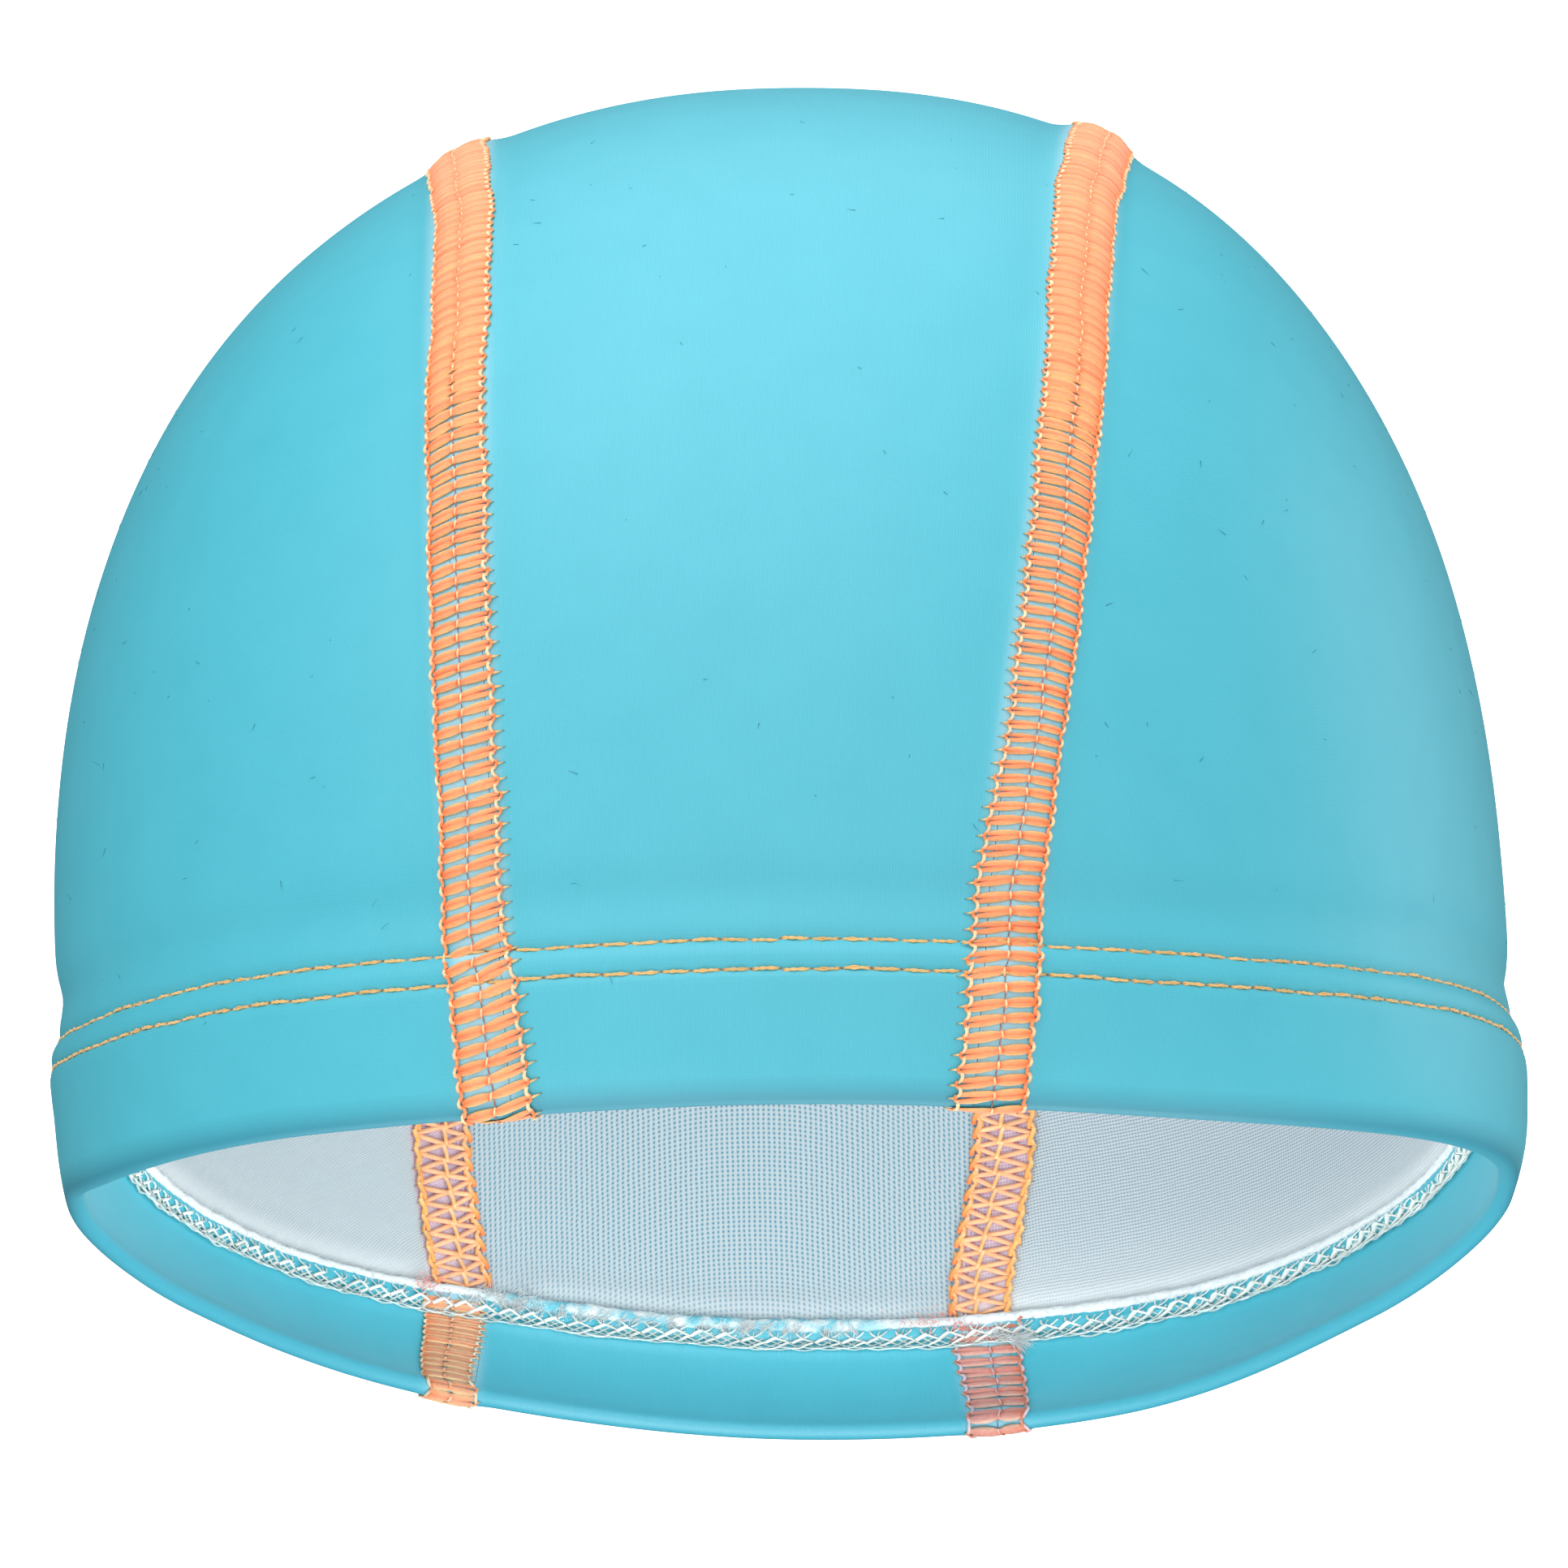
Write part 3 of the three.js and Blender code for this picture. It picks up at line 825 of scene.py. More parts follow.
def strand(points, radius, dyes_and_painted_light, rings=6, round_steps=1, widths=(1,), edge=None, edge_side=0, flat=1.0):
    """One strand in flat millimetres (across, along, lift). Its colours, painted highlight and shade among
    them, and widths, its shares of the radius, run from end to end. Edge is the colour of its sides, and
    edge_side says which (0 for both). Flat is its height as a share of its width."""
    clear_selection()
    bpy.ops.curve.primitive_nurbs_path_add()
    curve = bpy.context.object
    curve.data.splines.clear()
    spline = curve.data.splines.new("POLY")
    spline.points.add(rings - 1)
    for i, place in enumerate(smooth_line(points, rings)):
        spline.points[i].co = (*place, 1)
        spline.points[i].radius = np.interp(i / (rings - 1), np.linspace(0, 1, len(widths)), widths)
    curve.data.twist_mode = "Z_UP"
    curve.data.bevel_depth = radius
    curve.data.bevel_resolution = round_steps
    bpy.ops.object.convert(target="MESH")
    piece = bpy.context.object
    points_now = np.array([v.co for v in piece.data.vertices]).reshape(rings, -1, 3)
    middle = points_now.mean(1, keepdims=True)
    points_now[..., 2] = mix(middle[..., 2], points_now[..., 2], flat)
    piece.data.vertices.foreach_set("co", points_now.ravel())
    t = np.linspace(0, 1, rings)
    at = np.linspace(0, 1, len(dyes_and_painted_light))
    dye_and_painted_light = np.stack([np.interp(t, at, [colour(*d)[k] for d in dyes_and_painted_light]) for k in range(3)], -1)
    dye_and_painted_light = np.repeat(dye_and_painted_light[:, None], points_now.shape[1], axis=1)
    if edge is not None:
        beside = (points_now - middle)[..., 1] / radius
        beside = np.abs(beside) if edge_side == 0 else beside * edge_side
        dye_and_painted_light = mix(dye_and_painted_light, np.array(colour(*edge)[:3]), np.clip(beside, 0, 1)[..., None] ** 2 * 0.9)
    store(piece, "dye_and_painted_light", "FLOAT_COLOR", np.concatenate([dye_and_painted_light, np.ones(dye_and_painted_light.shape[:2] + (1,))], -1))
    store(piece, "core", "FLOAT_VECTOR", middle + 0 * points_now)
    return piece


def one_stitch(name, strands):
    """Joins strands into one stitch and notes which strand each point belongs to."""
    for i, piece in enumerate(strands):
        store(piece, "strand", "INT", np.full(len(piece.data.vertices), i))
    clear_selection()
    for piece in strands:
        piece.select_set(True)
    bpy.context.view_layer.objects.active = strands[0]
    bpy.ops.object.join()
    stitch = bpy.context.object
    stitch.name = name
    return stitch


def repeat_stitch(stitch, name, count, place, loose, material, fullness=None, tint=None):
    """Copies a stitch. Place gives each copy's points, and loose is how far a strand may wander, in
    millimetres. Fullness is how thick the first two strands of each copy are, and tint scales the colours
    of each copy, painted shade among them."""
    flat = np.array([v.co for v in stitch.data.vertices])
    faces = np.array([list(face.vertices) for face in stitch.data.polygons])
    strands = stored(stitch, "strand")[:, 0].astype(int)
    rng = np.random.default_rng(len(name) + count)
    stray = rng.normal(size=(count, strands.max() + 1, 3))[:, strands] * np.array(loose)
    spots = flat[None] + np.clip(stray, -0.3, 0.3)
    if fullness is not None:
        more = (fullness - 1)[:, None]
        spots = spots + (flat - stored(stitch, "core"))[None] * (more * (strands < 2))[..., None]
        spots[..., 1] += more * 0.35 * (strands == 1)
    k = np.arange(count)[:, None]
    points = place(k, spots[..., 0], spots[..., 1], spots[..., 2])
    every = (faces[None] + (k * len(flat))[..., None]).reshape(-1, faces.shape[1])
    piece = mesh_piece(name, points, every, material)
    shade = 1 + 0.07 * rng.normal(size=(count, strands.max() + 1))[:, strands]
    dyes_and_painted_light = stored(stitch, "dye_and_painted_light")[None] * np.clip(shade, 0.8, 1.15)[..., None]
    if tint is not None:
        dyes_and_painted_light[..., :3] *= tint[:, None, :]
    store(piece, "dye_and_painted_light", "FLOAT_COLOR", dyes_and_painted_light)
    store(piece, "lay", "FLOAT_VECTOR", spots + k[..., None] * np.array([7.3, 3.1, 0]))
    bpy.data.objects.remove(stitch)
    print(name, count, "stitches,", triangles(piece), "triangles")
    return piece


# %% Thread materials
def make_thread(name, fuzz, roughness, run):
    """Thread of fine fibres. Run is how the fibres lie in a flat stitch: how close they are across it,
    along it and up from it, in fibres per millimetre."""
    material, tree, shader = plain_material(name, (255, 150, 100), roughness)
    stretch = add_node(tree, "ShaderNodeVectorMath", operation="MULTIPLY")
    stretch.inputs[1].default_value = run
    link(tree, (kept_value(tree, "lay", "Vector"), stretch.inputs[0]))
    fibres = noise(tree, stretch.outputs[0], 1, 3)
    spread = maths(tree, "MULTIPLY_ADD", fibres, 2 * fuzz, 1 - fuzz)
    scale = add_node(tree, "ShaderNodeVectorMath", operation="SCALE")
    link(tree, (kept_value(tree, "dye_and_painted_light", "Color"), scale.inputs[0]), (spread, scale.inputs["Scale"]))
    link(tree, (scale.outputs[0], shader.inputs["Base Color"]))
    bump(tree, shader, fibres, 0.08)
    shader.inputs["Sheen Weight"].default_value = 0.2
    return material


COVER_THREAD = make_thread("cover_thread", 0.3, 0.8, (1.6, 6.5, 5))
HEM_THREAD = make_thread("hem_thread", 0.25, 0.7, (6, 2, 5))
LOOPER_THREAD = make_thread("looper_thread", 0.2, 0.8, (4, 4, 4))

# %% [markdown]
# Outside, a stitch is a bar of two fluffy strands that lies across the seam, held down by three chains.
# The chain beside the centre panel throws a small spike at each stitch, where its loop is pulled into the
# cloth. The ladder changes on its way. Low in front it is wide and open, its bars lie askew and its
# spikes are long. Over the crown the bars are so full that they close up to a pad. So its shape is kept
# in a table for each seam.

# %% The ladder of threads outside each seam
# The cream is a painted highlight where a thread bends, the gold a painted highlight on the sides and loops
# of the threads, and the brown painted shade where a thread dives into the cloth or lies under the others.
# Where the deep orange ends a strand, it is painted shade as well.
BAR = (255, 154, 104)
SALMON = (255, 134, 86)
ORANGE = (255, 154, 96)
DEEP = (255, 122, 56)
CREAM_HIGHLIGHT = (255, 218, 170)
GOLD_HIGHLIGHT = (255, 218, 146)
SHADOW_BROWN = (86, 58, 46)
STITCH = 1.66

# distance from the fold in front, share of the width, stitch, slope of the bars in the plain half and in the
# spiked half, spike, and fullness of the bars; the last two rows are in and past the fold behind
LADDER_COLUMNS = ("distance", "width", "stitch", "plain", "spiked", "spike", "full")
LADDER = {
    "right": [(-25, 1.15, 1.6, 0, 0, 0.8, 1), (0, 1.16, 1.78, 0.24, 0.32, 1, 1),
              (12, 1.12, 1.75, 0.24, 0.3, 1, 1), (25, 1.03, 1.66, 0.2, 0.2, 1, 1),
              (42, 1.03, 1.64, 0.12, 0.13, 1, 1), (58, 1.02, 1.62, 0.14, 0.08, 0.7, 1.08),
              (70, 1.02, 1.6, 0.2, 0.02, 0.4, 1.25), (82, 1.02, 1.6, 0.18, 0.05, 0.1, 1.6),
              (90, 1, 1.6, 0.15, 0.1, 0, 2.2), (120, 1, 1.6, 0.1, 0.1, 0, 2.4),
              (135, 1.07, 1.6, 0.1, 0.1, 0, 2.4), (160, 1, 1.6, 0.1, 0.1, 0, 2.2),
              (200, 1, 1.6, 0.1, 0.1, 0, 1.8), (250, 1, 1.6, 0.1, 0.1, 0.5, 1.2),
              (355, 1.1, 1.6, 0, 0, 0.8, 1.1), (372, 1.2, 1.25, 0, 0, 0.8, 1.6),
              (395, 1.25, 1.25, 0, 0, 0.8, 1.7)],
    "left": [(-25, 1.12, 1.6, 0, 0, 0.8, 1), (0, 1.13, 1.64, -0.1, -0.18, 0.9, 1),
             (12, 1.14, 1.64, -0.07, -0.24, 0.9, 1), (22, 1.1, 1.63, -0.07, -0.24, 0.9, 1),
             (32, 1.02, 1.5, -0.03, -0.2, 0.9, 0.95), (38, 0.92, 1.42, 0, -0.16, 0.9, 0.85),
             (48, 0.98, 1.4, 0.04, -0.12, 0.7, 0.95), (62, 0.99, 1.4, 0.12, -0.08, 0.5, 1.1),
             (74, 1.02, 1.4, 0.18, -0.04, 0.2, 1.4), (84, 1.03, 1.4, 0.18, -0.04, 0.1, 2.0),
             (95, 1.03, 1.45, 0.15, 0, 0, 2.4), (115, 1.05, 1.5, 0.1, 0, 0, 2.4),
             (132, 1.08, 1.6, 0.1, 0, 0, 2.4), (160, 1.05, 1.6, 0.1, 0, 0, 2.2),
             (200, 1.05, 1.6, 0.1, 0, 0, 1.8), (250, 1.05, 1.6, 0, 0, 0.5, 1.2),
             (365, 1.1, 1.6, 0, 0, 0.8, 1.05), (380, 1.25, 2.1, 0, 0, 0.4, 1.25),
             (405, 1.35, 2.1, 0, 0, 0.4, 1.25)],
}
# distance from the fold in front: how far the ladder wanders to the wearer's left
WANDER = {
    "right": [(0, 0.8), (7, 0), (12, 0.05), (19, -0.65), (25, -0.5), (36, -0.1), (52, -0.25), (64, 0.05),
              (75, -0.25), (86, 0.1), (97, 0.5), (107, 0.7), (119, 0.4), (130, -0.15), (140, -0.6),
              (152, -0.4), (175, 0), (400, 0)],
    "left": [(0, -0.4), (5, -0.3), (10, 0.25), (18, -0.1), (27, 0), (35, 0.6), (44, 0.45), (50, 0.65),
             (57, 0.45), (68, 0.2), (78, 0.25), (91, 0), (106, -0.25), (118, 0.05), (128, 0.45),
             (138, 0.75), (150, 0.6), (175, 0), (400, 0)],
}
# how far the seam wanders sideways in the turned-up cloth, and its dye there against the dye outside
TAIL_SHIFT = {"right": -1.75, "left": 1.1}
TAIL_DYE = {"right": (0.84, 1.15, 1.5), "left": (0.7, 0.88, 1.75)}


def ladder_at(side, name, far):
    rows = np.array(LADDER[side])
    return through(rows[:, [0, LADDER_COLUMNS.index(name)]], far)


# bars: how far along the stitch a bar is at each place across it, and which side its painted pale highlight
# is on
BAR_ACROSS = (-3.25, -2.4, -1.3, -0.3, 0.7, 1.9, 3.1)
BAR_LIFT = (0.1, 0.2, 0.22, 0.16, 0.22, 0.2, 0.14)
BARS = [((0.15, 0.15, 0.14, 0.22, 0.14, 0.1, 0.12), -1), ((0.54, 0.6, 0.6, 0.52, 0.6, 0.7, 0.74), 1)]
# the plain chain, the middle chain with a thin thread between its loops painted dark as shade, then the
# spiked chain and its spike with its tip painted dark as shade: path (across, along, lift), radius, colours
# with painted highlight and shade, rings, round steps and widths
CHAINS = [
    ([(-3.15, -0.1, 0.2), (-3.5, 0.3, 0.3), (-3.45, 0.8, 0.3), (-3.15, 1.15, 0.22)], 0.18,
     (ORANGE, CREAM_HIGHLIGHT, CREAM_HIGHLIGHT, ORANGE), 5, 1, (1,)),
    ([(-3.45, 0.72, 0.2), (-3.18, 1.05, 0.32), (-3.2, 1.45, 0.32), (-3.45, 1.85, 0.2)], 0.17,
     (DEEP, ORANGE, ORANGE, DEEP), 5, 1, (1,)),
    ([(-0.3, -0.1, 0.2), (-0.26, 0.3, 0.38), (-0.2, 0.76, 0.3)], 0.125,
     (ORANGE, CREAM_HIGHLIGHT, CREAM_HIGHLIGHT), 4, 1, (0.7, 1, 0.7)),
    ([(-0.52, 0.0, 0.22), (-0.46, 0.35, 0.34), (-0.4, 0.66, 0.24)], 0.12,
     (DEEP, DEEP, ORANGE), 4, 1, (0.6, 1, 0.6)),
    ([(-0.2, 0.7, 0.3), (-0.24, 1.15, 0.08), (-0.3, 1.66, 0.26)], 0.055, (ORANGE, SHADOW_BROWN, ORANGE), 4, 0, (1,)),
    ([(3.0, -0.02, 0.22), (3.24, 0.2, 0.3), (3.42, 0.46, 0.3), (3.26, 0.8, 0.26)], 0.16,
     (CREAM_HIGHLIGHT, ORANGE, DEEP, ORANGE), 5, 1, (1,)),
    ([(3.3, 0.66, 0.26), (3.04, 0.94, 0.34), (2.94, 1.3, 0.36), (3.02, 1.7, 0.26)], 0.17,
     (ORANGE, CREAM_HIGHLIGHT, CREAM_HIGHLIGHT, CREAM_HIGHLIGHT), 5, 1, (1,)),
    ([(3.3, 0.52, 0.28), (3.75, 0.52, 0.2), (4.3, 0.54, 0.04)], 0.14,
     (ORANGE, GOLD_HIGHLIGHT, SHADOW_BROWN), 4, 0, (1.3, 0.8, 0.2)),
]


def ladder_stitch(name):
    """A stitch laid out flat: across runs from the plain chain (-3.3) to the spiked one (3.1)."""
    strands = []
    for along, edge_side in BARS:
        strands.append(strand(list(zip(BAR_ACROSS, along, BAR_LIFT)), 0.35,
                              (DEEP, SALMON, BAR, SALMON, BAR, BAR, BAR), rings=9,
                              widths=(0.75, 1.1, 1.15, 0.72, 1.1, 1, 0.68), edge=GOLD_HIGHLIGHT, edge_side=edge_side,
                              flat=0.42))
    strands += [strand(*chain) for chain in CHAINS]
    return one_stitch(name, strands)


def wander(along, seed):
    """A small uneven shift along a row of stitches."""
    waves = ((0.13, 3.3, seed), (0.08, 1.9, 2 * seed), (0.05, 0.83, seed))
    return sum(height * np.sin(along / length + start) for height, length, start in waves)


def make_ladder(side):
    line = LINES[side]
    toward_centre = TOWARD_CENTRE[side]
    tail = FOLD_LENGTH + HEM_HEIGHT - HALF_HEM - 1.2
    starts = [-tail]
    while starts[-1] < line["end"] + tail - STITCH:
        starts.append(starts[-1] + float(ladder_at(side, "stitch", starts[-1])))
    starts = np.array(starts)
    past_fold = ease(starts, line["end"] - 6, line["end"] + 3)

    def place(k, across, along, lift):
        start = starts[k]
        far = start + along * ladder_at(side, "stitch", start) / STITCH
        far = far + ladder_at(side, "plain", start) * np.minimum(across, 0)
        far = far + ladder_at(side, "spiked", start) * np.maximum(across, 0)
        spike = ladder_at(side, "spike", start)
        across = np.minimum(across, 3.45) + np.maximum(0, across - 3.45) * spike
        wide = ladder_at(side, "width", start)
        offset = toward_centre * (across * wide + wander(far, len(side))) + TAIL_SHIFT[side] * past_fold[k]
        offset = offset + through(WANDER[side], start)
        return beside_seam(line, far, offset, lift)

    stitch = ladder_stitch(side + "_ladder_stitch")
    tint = mix(np.ones(3), np.array(TAIL_DYE[side]), past_fold[:, None])
    # Copies round the fold behind are painted up to 30 % darker: painted shade.
    tint = tint * (1 - 0.3 * np.exp(-((starts - line["end"] - 1) / 2.6) ** 2))[:, None]
    return repeat_stitch(stitch, side + "_seam_ladder", len(starts), place, (0.05, 0.06, 0.03), COVER_THREAD,
                         fullness=ladder_at(side, "full", starts), tint=tint)


LADDERS = {side: make_ladder(side) for side in ("right", "left")}

# %% [markdown]
# Inside, the same needles leave three chains, and a looper thread runs between them in zigzags.

# %% The net of threads inside each seam
PEACH = (255, 200, 142)
AMBER = (255, 172, 86)
PINK = (255, 182, 172)
INNER_STITCH = 1.95
INNER_WIDTH = 1.1


def inner_stitch(name):
    p = INNER_STITCH
    left, centre, right = -3.25, 0.35, 3.15
    strands = []
    for start, stop in (((left, 0.3 * p), (centre, 0.0)), ((left, 0.3 * p), (centre, p)),
                        ((right, 0.5 * p), (centre, 0.02 * p)), ((right, 0.55 * p), (centre, 0.98 * p))):
        middle = [mix(a, b, 0.5) for a, b in zip(start, stop)]
        path = [(*start, 0.3), (*middle, 0.42), (*stop, 0.4)]
        strands.append(strand(path, 0.33, (AMBER, PEACH, PEACH, AMBER), rings=5, edge=PINK))
    over = [(-1, 0, 0.4), (-0.8, 0.3, 0.66), (0.6, 0.62, 0.66), (1, 1.02, 0.4)]
    under = [(1, 0.35, 0.35), (0.3, 0.6, 0.5), (-1, 0.8, 0.5), (-1.2, 1.15, 0.35)]
    for x, width, dyes_and_painted_light in ((left, 0.22, (GOLD_HIGHLIGHT, AMBER, AMBER)), (right, 0.3, (CREAM_HIGHLIGHT, AMBER, DEEP))):
        path = [(x + width * a, p * b, lift) for a, b, lift in over]
        strands.append(strand(path, 0.3, dyes_and_painted_light, rings=5, edge=PINK))
        path = [(x + width * a, p * b, lift) for a, b, lift in under]
        strands.append(strand(path, 0.26, (AMBER, PEACH, AMBER), rings=5, round_steps=0))
    path = [(centre - 0.22, 0.0, 0.5), (centre - 0.05, 0.35 * p, 0.72), (centre + 0.08, 0.75 * p, 0.7),
            (centre + 0.2, 1.05 * p, 0.5)]
    strands.append(strand(path, 0.25, (CREAM_HIGHLIGHT, PEACH, AMBER, CREAM_HIGHLIGHT), rings=5, edge=PINK))
    # Its tip is painted dark brown: painted shade where it dives into the cloth.
    path = [(left - 0.35, 0.2 * p, 0.3), (left - 0.75, 0.24 * p, 0.05)]
    strands.append(strand(path, 0.07, (AMBER, SHADOW_BROWN), rings=3, round_steps=0, widths=(1, 0.3)))
    return one_stitch(name, strands)


def make_inner_net(side):
    line = LINES[side]
    toward_centre = TOWARD_CENTRE[side]
    half = len(line["above"]) // 2
    start = float(np.interp(HEM_HEIGHT + 0.6, line["above"][:half], line["lengths"][:half]))
    stop = float(np.interp(-HEM_HEIGHT - 0.2, -line["above"][half:], line["lengths"][half:]))
    count = int((stop - start) / INNER_STITCH)

    def place(k, across, along, lift):
        far = start + k * INNER_STITCH + along
        offset = toward_centre * (across * INNER_WIDTH + wander(far, 4 + len(side)))
        return beside_seam(line, far, offset, -CLOTH - lift)

    stitch = inner_stitch(side + "_inner_stitch")
    return repeat_stitch(stitch, side + "_seam_net", count, place, (0.09, 0.1, 0.03), COVER_THREAD)


INNER_NETS = {side: make_inner_net(side) for side in ("right", "left")}

# %% [markdown]
# Two rows of needle thread go all round the hem. Outside they are short tan stitches that dive into the cloth
# at each hole. Inside, the looper thread joins both rows in a pale net that also holds the raw edge down.

# %% Stitch rows round the hem
TAN = (233, 186, 118)
# The dark tan is painted shade where the stitches dive into their holes.
SHADOW_TAN = (92, 66, 58)
HEM_STITCH = 3.15


def row_line(above):
    """Angles round the head on a line in the hem, and the distance along the line at each."""
    around = np.linspace(0, 2 * math.pi, 2001)
    return around, arc_lengths(skin_point(around, hem_level(around, above)))


def sew_round_hem(name, stitch, above, place_at, loose, material):
    """Copies a stitch all round the hem. Place_at gives its points from the distance and the angle round
    it."""
    around, lengths = row_line(above)
    count = round(lengths[-1] / HEM_STITCH)
    pitch = lengths[-1] / count

    def place(k, across, along, lift):
        far = (k + along / HEM_STITCH) * pitch
        return place_at(far, np.interp(far % lengths[-1], lengths, around), across, lift)

    return repeat_stitch(stitch, name, count, place, loose, material)


def make_hem_row(name, above, seed):
    def place_at(far, angle, across, lift):
        level = above + across + 0.5 * wander(far, seed)
        over_seam = ridge_at(skin_point(angle, hem_level(angle, level)))
        return hem_place(angle, level - HALF_HEM, lift + relief(level) + over_seam)

    p = HEM_STITCH
    strands = []
    for side in (1, -1):
        path = [(-0.08, 0, -0.06), (0.08 * side, 0.14 * p, 0.12), (-0.08 * side, 0.4 * p, 0.24),
                (0.08 * side, 0.66 * p, 0.22), (-0.04 * side, 0.86 * p, 0.12), (0.08, p, -0.06)]
        # Both ends are painted dark: painted shade at the needle holes.
        strands.append(strand(path, 0.14, (SHADOW_TAN, TAN, TAN, TAN, TAN, SHADOW_TAN), rings=11, round_steps=0))
    stitch = one_stitch(name + "_stitch", strands)
    return sew_round_hem(name, stitch, above, place_at, (0.03, 0.02, 0.02), HEM_THREAD)


HEM_ROWS = [make_hem_row("hem_stitches_upper", UPPER_ROW, 1),
            make_hem_row("hem_stitches_lower", LOWER_ROW, 5)]

# %% The looper net inside the hem
MINT = (220, 236, 232)
PALE = (246, 251, 247)
SHADE = (188, 214, 214)


# strands: path (across, share of a stitch along, lift), radius, dyes and round steps
LOOPER = [([(2.95, 0.6, 0.4), (2.45, 0.82, 0.52), (1.85, 1.04, 0.4)], 0.31, (PALE, PALE, PALE), 1),
          ([(1.85, 0.1, 0.34), (1.3, 0.32, 0.44), (0.6, 0.55, 0.3)], 0.28, (PALE, PALE, MINT), 1),
          ([(1.9, 0.0, 0.3), (2.35, 0.28, 0.42), (2.95, 0.64, 0.42)], 0.19, (MINT, PALE, PALE), 0),
          ([(0.65, -0.4, 0.25), (1.2, -0.15, 0.32), (1.85, 0.12, 0.32)], 0.17, (MINT, MINT, PALE), 0),
          ([(0.2, 0, 0.25), (1.5, 0.45, 0.22), (2.7, 0.9, 0.2)], 0.18, (SHADE, MINT, SHADE), 0),
          ([(2.8, 0.2, 0.2), (1.4, 0.7, 0.22), (0.1, 1.2, 0.2)], 0.18, (SHADE, MINT, SHADE), 0),
          ([(0.6, 0.5, 0.3), (0.05, 0.85, 0.36), (0.2, 1.25, 0.34), (0.6, 1.5, 0.25)], 0.19,
           (PALE, PALE, MINT, MINT), 0),
          ([(0.3, 0.0, 0.2), (-0.12, 0.5, 0.28), (0.3, 1, 0.2)], 0.17, (MINT, SHADE, MINT), 0),
          ([(2.9, 0.5, 0.3), (3.5, 0.3, 0.22), (4.2, 0.2, 0.1)], 0.16, (PALE, MINT, PALE), 0),
          ([(2.9, 0.62, 0.3), (3.5, 0.78, 0.22), (4.2, 0.86, 0.1)], 0.16, (PALE, MINT, PALE), 0),
          ([(2.9, 0.56, 0.3), (3.5, 0.54, 0.2), (4.2, 0.5, 0.1)], 0.08, (SHADE, MINT, PALE), 0)]


def looper_stitch():
    """One stitch: across is up from the lower row, and along runs round the hem."""
    strands = []
    for path, radius, dyes_and_painted_light, round_steps in LOOPER:
        path = [(across, share * HEM_STITCH, lift) for across, share, lift in path]
        strands.append(strand(path, radius, dyes_and_painted_light, 5, round_steps))
    return one_stitch("looper_stitch", strands)


def make_looper_net():
    def place_at(far, angle, across, lift):
        loose = 1 + 0.1 * np.sin(far / 17.0) + 0.08 * np.sin(far / 5.3)
        level = LOWER_ROW + across * loose + wander(far, 2)
        over_seam = 1.3 * np.maximum(0, ridge_at(skin_point(angle, hem_level(angle, level))))
        return inside_hem(angle, level, lift - relief(level) + over_seam)

    stitch = looper_stitch()
    return sew_round_hem("hem_looper_net", stitch, UPPER_ROW, place_at, (0.1, 0.1, 0.05), LOOPER_THREAD)


LOOPER_NET = make_looper_net()

# %% [markdown]
# The cut edge of the turned-up cloth is soft and pale. It rolls over a little towards the head, so it
# shows as a white ribbon above the net, with fibres that stand out of it. Behind, it is worn thin for a
# few centimetres: there the cloth shows through, and its fibres hang together in clumps.

# %% The raw edge inside the hem
def make_fluff_material():
    material, tree, shader = plain_material("fluff", (236, 241, 241), 0.95)
    place = add_node(tree, "ShaderNodeTexCoord").outputs["Object"]
    fibres = noise(tree, place, 1800, 6)
    base = ramp(tree, fibres, (226, 240, 244), (255, 255, 254))
    patches = maths(tree, "MULTIPLY_ADD", noise(tree, place, 420, 4), 5.0, -2.1)
    thin = ramp(tree, patches, (120, 208, 226), (246, 252, 252))
    base = ramp(tree, kept_value(tree, "worn"), base, thin)
    link(tree, (base, shader.inputs["Base Color"]))
    bump(tree, shader, fibres, 0.25)
    return material


FLUFF = make_fluff_material()


def ripple(s, seed):
    """An uneven line along the hem, about 1 high."""
    total = 0 * s
    for i, wave in enumerate((31.0, 13.7, 6.1, 2.9, 1.3)):
        total = total + np.sin(s / wave + seed * (i + 1) * 1.7) / (1 + 0.6 * i)
    return total / 2.2


def worn_at(angle):
    """1 where the edge behind is worn thin and the cloth shows through its fibres, and 0 elsewhere."""
    start = ease(angle, math.radians(168), math.radians(176))
    return start * (1 - ease(angle, math.radians(200), math.radians(206)))


